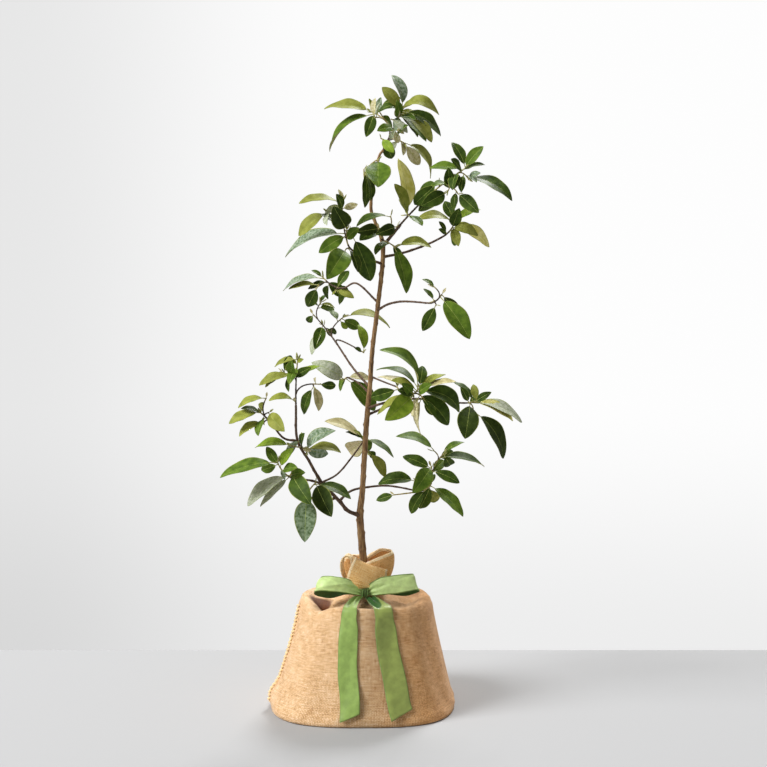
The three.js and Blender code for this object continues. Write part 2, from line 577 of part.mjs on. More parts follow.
// A mass: its stem and twigs, and every leaf that stays clear of the limbs and of the other masses.
function describeMass({ limb: limbName, from, seed, shoots }, limbPoints, taken) {
  const random = stream(seed);
  const bearer = limbs[limbName];
  const [first, ...rest] = shoots;
  const share = from ? heightShare(bearer.curve, from) : 1;
  const ahead = from
    ? perpendicular(vector(first.tip).sub(bearer.curve.getPointAt(share)), bearer.curve.getTangentAt(share))
    : bearer.curve.getTangentAt(1);
  const start = bearer.curve.getPointAt(share).addScaledVector(ahead, from ? 0 : GAP);
  const stem = bentTwig(start, ahead, vector(first.tip), from ? 1.6 : bearer.radius(1));
  const twigs = [stem];
  for (const { tip } of rest) twigs.push(describeTwig(vector(tip), twigs));
  const leaves = [];
  const points = [];
  const offLimbs = (p) => limbPoints.every(([q, r]) => p.distanceTo(q) > r + LEAF.clear.limb);
  const offLeaves = (p) => taken.every((q) => p.distanceTo(q) > LEAF.clear.leaf);
  const free = (marks) => marks.every(offLimbs) && marks.every(offLeaves);
  shoots.forEach(({ leaves: rows }, k) => {
    const { curve } = twigs[k];
    const outward = Math.sign(curve.getPoint(1).y) || 1;
    const extra = rows.length > 2 ? [null] : [];
    const spacing = Math.min(LEAF.spacing, LEAF.cluster / rows.length);
    [...rows, ...extra].forEach((row, i) => {
      const base = curve.getPointAt(Math.max(1 - ((i + 0.3) * spacing) / curve.getLength(), 0.3));
      const draws = Array.from({ length: 4 }, random);
      const likely = row && draws[3] < 0.5 ? -outward : outward;
      for (const side of row ? [likely, -likely] : [outward]) {
        const leaf = describeLeaf(base, row || [360 * draws[3], LEAF.extra], side, draws);
        const marks = leafPoints(leaf);
        if (!free(marks)) continue;
        leaves.push(leaf);
        points.push(...marks);
        break;
      }
    });
  });
  return { twigs, leaves, points };
}

// The share of a rising limb's length at which it reaches a height.
function heightShare(curve, height) {
  let share = 0;
  while (share < 1 && curve.getPointAt(share).z < height) share += 0.005;
  return share;
}

// Points along every limb with its radius there, every few millimetres.
function spread(limbList) {
  return limbList.flatMap(({ curve, radius }) => {
    const count = Math.ceil(curve.getLength() / 5);
    return Array.from({ length: count + 1 }, (_, k) => [curve.getPointAt(k / count), radius(k / count)]);
  });
}

function massSolid({ twigs, leaves }, trunk) {
  const pieces = [
    ...twigs.map(({ curve, radius }, k) => limb(curve, radius, k ? TWIG.sides : 5, TWIG.steps)),
    ...leaves.map(leafBlade),
  ];
  const joined = wasm.Manifold.union(pieces.map(toSolid));
  return joined.subtract(trunk.fatter(GAP));
}

// ---------------------------------------------------------------- the tree and its pot

const MATERIALS = {
  bark: new THREE.MeshStandardMaterial({ color: COLOURS.bark, roughness: 0.85, metalness: 0 }),
  foliage: new THREE.MeshStandardMaterial({ color: COLOURS.foliage, roughness: 0.45, metalness: 0 }),
  burlap: new THREE.MeshStandardMaterial({ color: COLOURS.burlap, roughness: 0.95, metalness: 0 }),
  ribbon: new THREE.MeshStandardMaterial({ color: COLOURS.ribbon, roughness: 0.4, metalness: 0 }),
};

const group = new THREE.Group();

function add(name, geometry, material) {
  const mesh = new THREE.Mesh(geometry, material);
  mesh.name = name;
  group.add(mesh);
}

add('sack_pot', sackPot(), MATERIALS.burlap);
add('sack_neck', sackNeck(), MATERIALS.burlap);
add('ribbon_band', ribbonBand(), MATERIALS.ribbon);
add('ribbon_knot', ribbonKnot(), MATERIALS.ribbon);
add('ribbon_loop_left', ribbonLoop(-1, RIBBON.loops.left), MATERIALS.ribbon);
add('ribbon_loop_right', ribbonLoop(1, RIBBON.loops.right), MATERIALS.ribbon);
add('ribbon_tail_left', ribbonTail(-1, RIBBON.tails.left), MATERIALS.ribbon);
add('ribbon_tail_right', ribbonTail(1, RIBBON.tails.right), MATERIALS.ribbon);

const made = [];
for (const [name, described] of Object.entries(limbs)) {
  const solid = cutClear(described.fatter(0), made);
  add(name === 'trunk' ? name : `bough_${name}`, toGeometry(solid), MATERIALS.bark);
  made.push(described);
}

const limbPoints = spread(made);
const taken = [];
for (const [name, mass] of Object.entries(MASSES)) {
  const described = describeMass(mass, limbPoints, taken);
  taken.push(...described.points);
  add(`leaves_${name}`, toGeometry(massSolid(described, limbs.trunk)), MATERIALS.foliage);
}

export default group;
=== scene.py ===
"""Looks for the young avocado tree in its burlap-wrapped pot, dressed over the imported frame.

Every size is in millimetres until a mesh is made. +Z is up and the front of the bow faces -Y.
"""
from math import acos, atan2, ceil, cos, degrees, exp, hypot, pi, radians, sin, sqrt

import bmesh
import bpy
import numpy as np
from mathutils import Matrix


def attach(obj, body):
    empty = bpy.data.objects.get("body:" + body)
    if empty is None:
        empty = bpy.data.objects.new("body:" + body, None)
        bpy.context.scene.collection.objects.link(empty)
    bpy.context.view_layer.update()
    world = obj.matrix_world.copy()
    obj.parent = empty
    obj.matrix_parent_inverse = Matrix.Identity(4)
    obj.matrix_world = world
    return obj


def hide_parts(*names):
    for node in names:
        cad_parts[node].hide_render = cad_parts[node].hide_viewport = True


MM = 0.001

# ---------------------------------------------------------------- driving dimensions, as in the part's source

GAP = 0.3                            # between a limb's tip and the twig that grows on from it
SACK = {
    "base": 153, "sole": 149, "rim": 108, "height": 180, "wall_top": 168, "draw_height": 182, "belly": 1.2,
    "lean": 5, "depth": 1.03, "square_base": 2.9, "square_rim": 2.15,
}
NECK = {"centre": (4, 2), "waist": 23}
TIE = {"radius": 17, "height": 192}

# each limb's radii, evenly along its path, and the points of its path
LIMB_PLANS = {
    "trunk": (
        [9.2, 6.9, 6.3, 4.9, 4.8, 4.2, 4.0, 3.9, 4.0, 3.1, 2.8, 2.4, 2.2],
        [(1, 0, 175.3), (1, 0, 240), (-4.5, 0, 315), (0, 2, 363), (6, 4, 465), (12, 4, 529), (16, 2, 590),
         (26, 0, 670), (34, -2, 760), (21, 0, 802), (14, 2, 832), (26, 0, 903), (34, 0, 919)]),
    "low_left": ([3.7, 2.8], [(-4.5, 0, 316), (-24, -14, 326), (-38, -25, 344), (-69, -40, 380)]),
    "left_upright": ([2.7, 2.0], [(-69, -40, 380), (-87, -46, 414), (-106, -50, 450), (-108, -45, 505)]),
    "low_right": (
        [2.2, 1.6], [(-38, -25, 344), (-23, 0, 355), (-3, 24, 358), (42, 50, 358), (92, 65, 347)]),
    "mid_back": ([1.8, 1.4], [(-66, -38, 377), (-40, -15, 389), (-13, 20, 418), (2, 45, 437)]),
    "left_outer": ([2.1, 1.6], [(-106, -50, 447), (-128, -62, 454), (-146, -80, 480)]),
    "left_inner": ([1.9, 1.6], [(-100, -49, 437), (-97, -72, 440)]),
    "low_outer": ([2.3, 1.7], [(-62, -37, 371), (-80, -53, 382), (-107, -68, 387)]),
    "low_front": ([2.2, 1.7], [(-45, -28, 350), (-68, -47, 344), (-85, -62, 357)]),
    "left_thin": ([2.2, 1.6], [(10, 4, 532), (-16, 45, 558), (-43, 85, 594)]),
    "left_lower": ([1.8, 1.5], [(11, 4, 520), (-8, 22, 536), (-24, 34, 543)]),
    "right_mid": ([2.2, 1.5], [(25, 0, 658), (43, -25, 669), (68, -60, 675), (108, -100, 674)]),
    "left_mid": ([2.0, 1.6], [(26, 0, 670), (-9, 40, 700), (-31, 60, 692)]),
    "left_high": ([2.2, 1.8], [(32, -2, 734), (6, -20, 744), (-16, -40, 757)]),
    "right_high": ([2.5, 1.8], [(33, -2, 745), (72, 25, 753), (112, 50, 767), (136, 65, 779)]),
    "upper_right": ([3.2, 2.5], [(33, -2, 762), (50, -16, 783), (62, -24, 798)]),
    "right_low": ([2.4, 1.9], [(9, 4, 495), (29, -15, 504), (74, -55, 520)]),
    "right_outer": ([2.2, 1.6], [(8, 4, 484), (76, 30, 507), (130, 65, 500), (168, 78, 496)]),
    "right_thin": ([1.7, 1.4], [(13, 4, 548), (39, -14, 539), (53, -26, 535)]),
}

# Each mass: the limb that bears it, the seed of its draws, and the height where it leaves the limb, if that isn't the
# limb's tip. Then a shoot to a line: its tip, a colon, and its leaves from the tip inwards. A leaf is its tone's
# letter (see LEAF_TONES), its bearing in degrees and its reach, and, where they are set, how wide it looks and how
# high it arches, as shares of the reach.
MASSES = {
    "top": ("trunk", 11, None, """
65 -15 986: g 107 57 .3 .12, o 133 47 .42, y 34 30 .3, o 353 62 .3 .3, d 330 76 .3 .14, o 316 70 .25 .1,
  d 178 36 .3 .3, m 314 62 .2 .05, d 312 46 .3, g 255 26 .5;
14 20 983: y 100 22 .3, o 175 81 .24 .1, d 251 42 .45, m 218 98 .14 .16, g 78 28 .4;
70 -10 929: c 306 42 .45, o 308 74 .2 .2, c 280 24 .3, s 225 22 .5;
30 -8 938: b 311 31 .5, d 297 33 .6"""),
    "leader": ("trunk", 12, 850, """
3 -24 888: d 271 61 .3, d 283 48 .22;
27 -26 904: m 270 46 .9 .03"""),
    "upper_right": ("upper_right", 13, None, """
166 -72 888: d 117 47 .38, m 50 46 .38, m 176 53 .28, d 14 38 .2, d 225 32 .6, d 248 30 .5;
72 -32 814: w 99 93 .25 .06, y 114 55 .28, o 120 30 .3;
171 -68 869: g 28 20, d 332 80 .24 .12, g 325 20, d 262 30 .4;
154 -64 847: d 316 45 .5, d 262 30 .4;
136 -60 849: d 208 48 .5, k 215 58 .4, d 95 31 .55;
122 -64 866: d 222 52 .45, d 203 36"""),
    "right_high": ("right_high", 14, None, """
155 72 804: d 116 38 .5, b 27 50 .25 .12, o 173 62 .2 .18, w 329 72 .28 .12, o 285 34 .5, d 72 34 .6, o 345 46 .4 .2;
140 66 784: d 123 24 .3, d 150 16"""),
    "middle": ("trunk", 15, 768, """
28 -19 793: k 188 38 .55, d 205 36;
57 -26 795: k 200 36 .55, d 330 28 .35;
46 -24 812: d 196 58 .18 .14;
56 -20 761: y 359 58 .24 .15, m 285 79 .32, d 300 30 .4, d 190 18"""),
    "left_high": ("left_high", 16, None, """
-24 -50 791: k 118 42 .75, d 146 50 .2, g 201 108 .14 .13, m 212 52 .42, o 190 30 .4;
-31 -55 837: c 110 20 .3, o 180 69 .15 .12, s 203 30 .4, c 15 26 .45;
-55 -60 818: o 218 62 .32 .06, s 255 22;
-15 -46 781: d 292 80 .42;
-27 -46 758: m 238 55 .68, k 293 42 .3"""),
    "left_mid": ("left_mid", 17, None, """
-69 78 711: d 150 22 .3, g 197 74 .13 .14, d 322 46 .45, k 200 36 .3;
-77 70 693: d 242 40 .55, o 188 53 .14;
-47 66 687: o 338 34 .35, d 56 36 .4, d 338 20"""),
    "right_mid": ("right_mid", 18, None, """
127 -112 689: k 315 38 .45, m 305 80 .4 .04;
115 -116 700: d 147 24 .25;
118 -110 671: d 242 46 .45;
114 -112 679: d 133 25 .28"""),
    "left_thin": ("left_thin", 19, None, """
-70 118 627: d 252 42 .5, d 307 22 .4, s 243 50 .22, d 338 18;
-33 110 641: o 346 82 .11 .17, m 331 36 .5, b 308 20 .5;
-86 112 645: d 230 18 .7;
-72 122 666: d 60 14, o 345 27 .2, d 150 14;
2 46 584: b 101 47 .33 .1, d 150 14"""),
    "left_lower": ("left_lower", 20, None, """
-32 38 538: s 150 62 .42 .16, m 311 75 .38, c 354 40 .3 .1"""),
    "left_upright": ("left_upright", 21, None, """
-105 -36 580: o 198 41 .2 .14, y 30 12, y 150 12;
-129 -42 557: d 68 30 .5, o 205 49 .28, o 212 44 .2, d 268 28 .3, o 195 36 .3;
-112 -44 550: d 30 34 .42, b 22 46 .2;
-70 -50 540: d 352 28 .5, c 90 12;
-79 -50 535: d 250 50 .33, t 283 43 .3;
-109 -54 512: y 177 42 .2 .2"""),
    "left_outer": ("left_outer", 22, None, """
-163 -92 499: y 198 52 .26 .12, d 163 35 .15, o 270 16 .3;
-153 -88 522: y 198 46 .22 .14, o 250 20;
-158 -90 481: y 208 44 .28 .14;
-149 -86 498: o 318 38 .62"""),
    "left_inner": ("left_inner", 23, None, """
-88 -86 433: g 38 60 .3 .22, o 359 58 .18 .14, g 343 40 .5, c 345 14;
-114 -86 444: b 185 61 .2 .12;
-98 -80 455: g 233 44 .28"""),
    "low_left": ("low_outer", 24, None, """
-136 -86 418: m 193 93 .17 .08, m 205 32 .5, m 126 36 .45, b 55 40 .35, g 290 18 .4;
-113 -78 399: d 309 53 .62, s 215 82 .22 .1, s 225 66 .18 .02"""),
    "low_front": ("low_front", 25, None, """
-91 -67 360: e 269 67 .54, t 243 34 .5;
-75 -62 381: k 301 54 .6, d 341 64 .2 .12"""),
    "mid_back": ("mid_back", 26, None, """
0 62 434: t 152 73 .14 .12, o 140 25 .12, d 158 34 .2, c 228 42 .75, d 328 57 .14 .1;
8 62 412: o 304 53 .33, d 312 20"""),
    "right_low": ("right_low", 27, None, """
93 -72 537: d 80 33 .55, y 26 48 .2 .1, d 157 74 .1 .2, t 14 62 .1 .06, m 132 91 .13 .24, o 156 45 .2, d 333 79 .3 .2,
  c 160 66 .16 .1, d 315 78 .36 .08, o 160 25 .5;
100 -72 518: d 303 34 .45, c 270 66 .14, c 250 36 .25;
82 -62 522: b 217 56 .62, c 263 21 .25, o 211 66 .12"""),
    "right_inner": ("right_thin", 28, None, """
60 -34 530: d 199 48 .45, o 95 18 .4"""),
    "right_outer": ("right_outer", 29, None, """
194 85 498: o 100 28 .5, d 33 32 .4, d 137 49 .18 .1, w 334 79 .2 .12, s 337 96 .13 .12, k 258 55 .68, d 118 32 .4;
188 84 480: k 302 101 .24 .12"""),
    "low_right": ("low_right", 30, None, """
117 78 358: d 248 50 .45, m 318 75 .25 .08, o 297 34 .6, d 240 53 .35;
116 80 388: m 229 50 .62, d 159 53 .34, d 338 50 .35;
138 84 408: d 300 28 .7, m 29 45 .2 .12, d 346 80 .13 .1;
121 84 413: m 157 72 .17 .16;
92 82 361: d 186 68 .26 .12;
53 78 338: d 199 34 .4"""),
}

# Finer shoots than the source's, in the same form: the new growth at the tree's top.
FINE = {
    "top": """
56.5 -14 969: c 88 19 .55, c 70 15 .5, y 30 30 .3 .1;
47 -20 968: s 319 34 .38 .05;
20 -8 971: c 88 31 .28, s 74 24 .2;
53 -24 951: c 285 22 .5, s 245 18 .5, c 330 18 .4;
27 -12 982: d 28 48 .17 .08""",
}

# each tone's shaded and lit colours, and how fine its mottling is
LEAF_TONES = {
    "d": ("#34481a", "#4b6222", 95), "m": ("#4a6420", "#657f2b", 95), "b": ("#6d8a26", "#8fa838", 95),
    "y": ("#7d8736", "#9fa54b", 95), "o": ("#7c8236", "#959a4a", 95), "k": ("#2b3a15", "#3c4c1c", 95),
    "g": ("#5b7350", "#a3b19c", 240), "s": ("#99a486", "#c3c8b4", 240), "c": ("#b5ac78", "#dcd5b2", 240),
    # w is a bright yellow tone, painted light for yellow leaves whose faces turn away from the lamps
    "t": ("#a59b6a", "#cdc496", 95), "w": ("#d8d46a", "#f4efa0", 95), "e": ("#4a5f3a", "#86977a", 240),
}

LEAF = {
    "shape": 0.42, "typical": (50, 66), "longest": 84, "least": 1.04, "foreshorten": 1.5, "roll": (15, 70),
    "arch": (0.06, 0.14), "spacing": 4, "cluster": 16, "extra": 28, "clear_limb": 2.2, "clear_leaf": 5,
    "clear_fine": 0.5, "limb_marks": 5,
}
TWIG = {"tip": 1, "thick": 1.6, "setback": 0.45, "follow": 0.45, "lead": 0.1, "step": 1.6, "least": 0.9,
        "rings": (5, 8)}

# Finer than the source: the blade's outline and relief, its stalk, and the young leaves at a shoot's tip.
BLADE = {
    "stalk_share": 0.13, "stalk_radius": 0.75, "fold": (0.1, 0.28), "twist": (-0.3, 0.3), "wave": 0.035,
    "quilt": 0.7, "veins": 7, "thick": 0.5, "rib": 0.36, "rib_stand": 0.45, "young": 16,
    "rows": (25, 9), "fullest": (0.82, 1.05), "ripples": (1.6, 2.8),
    "columns": [-1, -0.93, -0.76, -0.5, -0.25, None, None, 0.25, 0.5, 0.76, 0.93, 1],
}
BUD = {"leaves": 3, "reach": (7, 13), "spread": 0.9, "width": 0.34, "apart": 1.5}
ALMOST_A_TURN = 6.28
LEAF_TURN = 2.4                      # from one leaf to the next round a shoot, in radians


def vec(*xyz):
    return np.array(xyz, float)


def unit(v):
    return v / (np.linalg.norm(v) + 1e-12)


def mix(a, b, t):
    return a + (b - a) * t


def smooth(t):
    t = min(max(t, 0.0), 1.0)
    return t * t * (3 - 2 * t)


def hump(value, centre, spread):
    return exp(-((value - centre) / spread) ** 2)


def square_to(v, axis):
    """v without its part along axis, at length 1."""
    return unit(v - axis * np.dot(v, axis))


def outwards(angle):
    return vec(cos(angle), sin(angle), 0)


def from_middle(c, columns):
    """-1 at the first of the columns to 1 at the last."""
    return 2 * c / (columns - 1) - 1


def spread_value(values, t):
    """The value at the share t of an evenly spaced list."""
    return float(np.interp(t, np.linspace(0, 1, len(values)), values))


# ---------------------------------------------------------------- curves, as three.js measures them

class Curve:
    """point(t) is the formula; at(u) is the place at the share u of the length."""

    def __init__(self, point, divisions=200):
        self.point, self.divisions = point, divisions
        marks = np.array([point(k / divisions) for k in range(divisions + 1)])
        steps = np.linalg.norm(np.diff(marks, axis=0), axis=1)
        self.marks = np.concatenate([[0.0], np.cumsum(steps)])
        self.length = self.marks[-1]

    def share(self, u):
        return float(np.interp(u * self.length, self.marks, np.linspace(0, 1, self.divisions + 1)))

    def at(self, u):
        return self.point(self.share(u))

    def tangent(self, t):
        step = 1e-4
        return unit(self.point(min(t + step, 1.0)) - self.point(max(t - step, 0.0)))

    def tangent_at(self, u):
        return self.tangent(self.share(u))


def through(points):
    """A Catmull-Rom curve through points."""
    points = [vec(*p) for p in points]
    padded = [2 * points[0] - points[1], *points, 2 * points[-1] - points[-2]]
    spans = len(points) - 1

    def point(t):
        place = t * spans
        k = min(int(place), spans - 1)
        w = place - k
        a, b, c, d = padded[k:k + 4]
        from_b, to_c = (c - a) / 2, (d - b) / 2
        return (b + from_b * w + (3 * (c - b) - 2 * from_b - to_c) * w * w
                + (2 * (b - c) + from_b + to_c) * w ** 3)

    return Curve(point)


def bezier(a, b, c):
    return Curve(lambda t: (1 - t) ** 2 * a + 2 * t * (1 - t) * b + t * t * c)


# ---------------------------------------------------------------- meshes

class Pile:
    """Gathers points and faces, in millimetres, with a material name for each face."""

    def __init__(self):
        self.points, self.faces, self.kinds, self.spots = [], [], [], []
        self.count = 0

    def add(self, points, faces, kinds, spots=None):
        """kinds is one name for all, or one a face. spots are (u, v) for each point."""
        points = np.asarray(points, float).reshape(-1, 3)
        self.points.append(points)
        self.spots.append(np.zeros((len(points), 2)) if spots is None else np.asarray(spots, float))
        self.faces += [tuple(i + self.count for i in face) for face in faces]
        self.kinds += [kinds] * len(faces) if isinstance(kinds, str) else list(kinds)
        self.count += len(points)

    def build(self, name, slot, nodes=()):
        mesh = bpy.data.meshes.new(name)
        points = np.concatenate(self.points) * MM
        mesh.from_pydata([tuple(p) for p in points], [], self.faces)
        used = sorted(set(self.kinds))
        for kind in used:
            mesh.materials.append(MATERIALS[kind])
        mesh.polygons.foreach_set("material_index", [used.index(kind) for kind in self.kinds])
        mesh.polygons.foreach_set("use_smooth", [True] * len(self.faces))
        spots = np.concatenate(self.spots)
        if spots.any():
            corners = np.zeros(len(mesh.loops), int)
            mesh.loops.foreach_get("vertex_index", corners)
            mesh.uv_layers.new(name="UVMap").data.foreach_set("uv", spots[corners].ravel())
        mesh.validate()
        mesh.update()
        piece = place_object(name, mesh)
        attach(piece, "root")
        if nodes:
            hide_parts(*nodes)
        return piece


def place_object(name, data):
    made = bpy.data.objects.new(name, data)
    bpy.context.scene.collection.objects.link(made)
    return made


def grid_faces(rows, columns, closed=False):
    """Quads between rows of points; a closed row joins its last point to its first."""
    faces = []
    for r in range(rows - 1):
        for c in range(columns if closed else columns - 1):
            d = (c + 1) % columns
            faces.append((r * columns + c, r * columns + d, (r + 1) * columns + d, (r + 1) * columns + c))
    return faces


def add_grid(pile, points, rows, columns, kind_at, spots):
    """A grid of points as quads, with kind_at(row, column) for each one's material."""
    kinds = [kind_at(r, c) for r in range(rows - 1) for c in range(columns - 1)]
    pile.add(points, grid_faces(rows, columns), kinds, spots)


def tube(pile, centres, radii, kinds, sides, relief=None):
    """A round limb through centres. kinds is a name, or a function of the share of the length."""
    centres = np.asarray(centres, float)
    tangents = np.gradient(centres, axis=0)
    tangents /= np.linalg.norm(tangents, axis=1)[:, None] + 1e-12
    side = square_to(vec(0.31, 0.86, 0.4), tangents[0])
    points = []
    for k, (centre, ahead) in enumerate(zip(centres, tangents)):
        side = square_to(side, ahead)
        other = np.cross(ahead, side)
        for i in range(sides):
            turn = 2 * pi * i / sides
            radius = radii[k] + (relief(k, turn) if relief else 0)
            points.append(centre + radius * (cos(turn) * side + sin(turn) * other))
    rows = len(centres)
    faces = grid_faces(rows, sides, closed=True)
    shares = [(r + 0.5) / (rows - 1) for r in range(rows - 1) for _ in range(sides)]
    named = [kinds(s) for s in shares] if callable(kinds) else [kinds] * len(faces)
    points += [centres[0], centres[-1] + tangents[-1] * (radii[-1] * 0.6)]
    start, end = len(points) - 2, len(points) - 1
    last = (rows - 1) * sides
    for i in range(sides):
        j = (i + 1) % sides
        faces += [(start, j, i), (end, last + i, last + j)]
        named += [named[0], named[-1]]
    pile.add(points, faces, named)


# ---------------------------------------------------------------- materials

def linear(tone):
    """A hex colour as Blender's linear colour."""
    parts = [int(tone[k:k + 2], 16) / 255 for k in (1, 3, 5)]
    return (*[p / 12.92 if p <= 0.04045 else ((p + 0.055) / 1.055) ** 2.4 for p in parts], 1.0)


def shade(colour, factor):
    return (*[min(c * factor, 1.0) for c in colour[:3]], 1.0)


class Nodes:
    """Shorthand for a node tree: a value that is an output is linked, and any other is set on the socket."""

    def __init__(self, tree):
        self.tree = tree

    def join(self, socket, value):
        if isinstance(value, bpy.types.NodeSocket):
            self.tree.links.new(value, socket)
        else:
            socket.default_value = value

    def feed(self, node, **values):
        """Sets inputs by name, with _ for a space."""
        for name, value in values.items():
            self.join(node.inputs[name.replace("_", " ")], value)
        return node

    def node(self, kind, *values, **settings):
        """A new node with its settings, and values for its first inputs."""
        made = self.tree.nodes.new("ShaderNode" + kind)
        for key, value in settings.items():
            setattr(made, key, value)
        for socket, value in zip(made.inputs, values):
            self.join(socket, value)
        return made

    def coordinate(self, name="Object"):
        return self.node("TexCoord").outputs[name]

    def axes(self, place):
        return self.node("SeparateXYZ", place).outputs

    def stretched(self, place, scale):
        return self.feed(self.node("Mapping"), Vector=place, Scale=scale).outputs["Vector"]

    def noise(self, place, scale, detail=3.0, stretch=(1, 1, 1)):
        cloud = self.feed(self.node("TexNoise"), Scale=scale, Detail=detail, Vector=self.stretched(place, stretch))
        return cloud.outputs["Fac"]

    def ramp(self, value, *stops):
        """stops are (place, colour), each colour a hex one or linear."""
        ramp = self.node("ValToRGB", value)
        elements = ramp.color_ramp.elements
        while len(elements) < len(stops):
            elements.new(0.5)
        for element, (place, colour) in zip(elements, stops):
            element.position = place
            element.color = linear(colour) if isinstance(colour, str) else colour
        return ramp.outputs["Color"]

    def math(self, operation, *values):
        return self.node("Math", *values, operation=operation).outputs[0]

    def times(self, a, b):
        return self.math("MULTIPLY", a, b)

    def plus(self, a, b):
        return self.math("ADD", a, b)

    def blend(self, factor, a, b, mode="MIX"):
        made = self.node("Mix", factor, data_type="RGBA", blend_type=mode)
        self.join(made.inputs[6], a)
        self.join(made.inputs[7], b)
        return made.outputs[2]


class Look(Nodes):
    """One material, with values for its own shader."""

    def __init__(self, name, **values):
        self.material = bpy.data.materials.new(name)
        self.material.use_nodes = True
        super().__init__(self.material.node_tree)
        self.shader = self.tree.nodes["Principled BSDF"]
        self.feed(self.shader, **values)

    def done(self, colour, height, strength, distance):
        bump = self.feed(self.node("Bump"), Strength=strength, Distance=distance, Height=height)
        self.feed(self.shader, Base_Color=colour, Normal=bump.outputs["Normal"])
        return self.material


def leaf_material(name, shaded, lit, scale, roughness):
    """A leathery face: mottled between two colours, with fine pores."""
    look = Look(name, Roughness=roughness, Specular_IOR_Level=0.06)
    place = look.coordinate()
    mottle = look.ramp(look.noise(place, scale, 5.0), (0.36, shaded), (0.64, lit))
    return look.done(mottle, look.noise(place, 900.0, 2.0), 0.12, 0.0004)


def bark_material(name, dark, mid, pale, scale):
    """Thin bark: long ridges in three browns, with darker patches."""
    look = Look(name, Roughness=0.82)
    place = look.coordinate()
    ridges = look.noise(place, scale, 5.0, (1, 1, 0.16))
    patches = look.noise(place, scale * 0.14, 2.0)
    wood = look.ramp(ridges, (0.28, dark), (0.5, mid), (0.74, pale))
    return look.done(look.blend(look.times(patches, 0.5), wood, linear(dark)), ridges, 0.7, 0.0012)


def shoot_material(name, dark, pale):
    look = Look(name, Roughness=0.55)
    streaks = look.noise(look.coordinate(), 160.0)
    return look.done(look.ramp(streaks, (0.35, dark), (0.65, pale)), streaks, 0.3, 0.0005)


THREAD = 2.1                         # from one thread of the burlap to the next
THICK = {"burlap": 2.0, "ribbon": 0.6, "knot": 1.0}
WHITE = (1, 1, 1, 1)
# painted shade: what is left of the burlap's red, green and blue, by the share of the width from left to right, darker
# from the middle on and browner towards the right
PAINTED_SHADE_ACROSS = [(0.38, WHITE), (0.53, (0.74, 0.74, 0.73, 1)), (0.7, (0.82, 0.74, 0.64, 1)), (0.88, (0.98, 0.8, 0.58, 1))]
# painted shadow in the deep hollow: its bearing, radius and height, how far it reaches, and how little height counts in
# that
PAINTED_HOLLOW_SHADOW = {"place": (188, 75, 165), "reach": 30, "flat": 0.2, "stops": [(0.5, (0.16, 0.066, 0.015, 1)), (0.76, WHITE)]}


def burlap_material(name, dark, mid, pale, wrap=False):
    """A coarse plain weave laid out by the mesh's own map, whose unit is a thread, with uneven threads.

    The wrap's own cloth also gets painted shade, darker from the middle on and browner to the right, and a painted
    shadow in its deep hollow.
    """
    look = Look(name, Roughness=0.92, Sheen_Weight=0.2, Sheen_Roughness=0.6, Specular_IOR_Level=0.15)
    place = look.coordinate("UV")
    wander = look.noise(place, 0.3, 2.0)
    lines = [look.plus(axis, look.times(wander, 0.9)) for axis in look.axes(place)[:2]]
    waves = [look.math("SINE", look.times(line, pi)) for line in lines]
    threads = look.times(look.plus(*[look.math("ABSOLUTE", wave) for wave in waves]), 0.36)
    level = look.times(look.plus(threads, look.times(look.times(*waves), 0.14)), 0.7)
    slubs = look.noise(place, 1.0, 3.0, (1.15, 0.16, 1))
    picks = look.noise(place, 1.0, 3.0, (0.16, 1.15, 1))
    patches = look.noise(place, 0.09, 4.0)
    fibres = look.noise(place, 3.2, 3.0)
    for part, share in ((slubs, 0.55), (picks, 0.7), (patches, 0.3), (fibres, 0.4)):
        level = look.plus(level, look.times(look.math("SUBTRACT", part, 0.5), share))
    woven = look.ramp(level, (0.02, dark), (0.3, mid), (0.64, pale))
    if wrap:
        # painted shade across the wrap, darker from the middle on and browner to the right
        across = look.math("MULTIPLY_ADD", look.axes(look.coordinate())[0], 1 / (2 * SACK["base"] * MM), 0.5)
        # a painted shadow round the deep hollow at the rim's left front
        bearing, radius, height = PAINTED_HOLLOW_SHADOW["place"]
        x, y, z = sack_point(radians(bearing), radius, height) * MM
        flat = look.stretched(look.coordinate(), (1, 1, PAINTED_HOLLOW_SHADOW["flat"]))
        away = look.node("VectorMath", flat, (x, y, z * PAINTED_HOLLOW_SHADOW["flat"]), operation="DISTANCE").outputs["Value"]
        near = look.times(away, 1 / (PAINTED_HOLLOW_SHADOW["reach"] * MM))
        for shares in (look.ramp(across, *PAINTED_SHADE_ACROSS), look.ramp(near, *PAINTED_HOLLOW_SHADOW["stops"])):
            woven = look.blend(1.0, woven, shares, "MULTIPLY")
    return look.done(woven, level, 0.4, 0.0014)


def ribbon_material(name, tone):
    """Satin: fine threads along the ribbon, a soft sheen and faint crushing."""
    look = Look(name, Roughness=0.42, Sheen_Weight=0.35, Sheen_Roughness=0.4, Specular_IOR_Level=0.35)
    place = look.coordinate("UV")
    threads = look.noise(place, 1.2, 2.0, (9, 0.25, 1))
    crush = look.noise(place, 0.09, 3.0)
    base = linear(tone)
    level = look.plus(look.times(threads, 0.35), look.times(crush, 0.65))
    return look.done(look.ramp(level, (0.35, shade(base, 0.85)), (0.62, shade(base, 1.15))), level, 0.22, 0.0008)


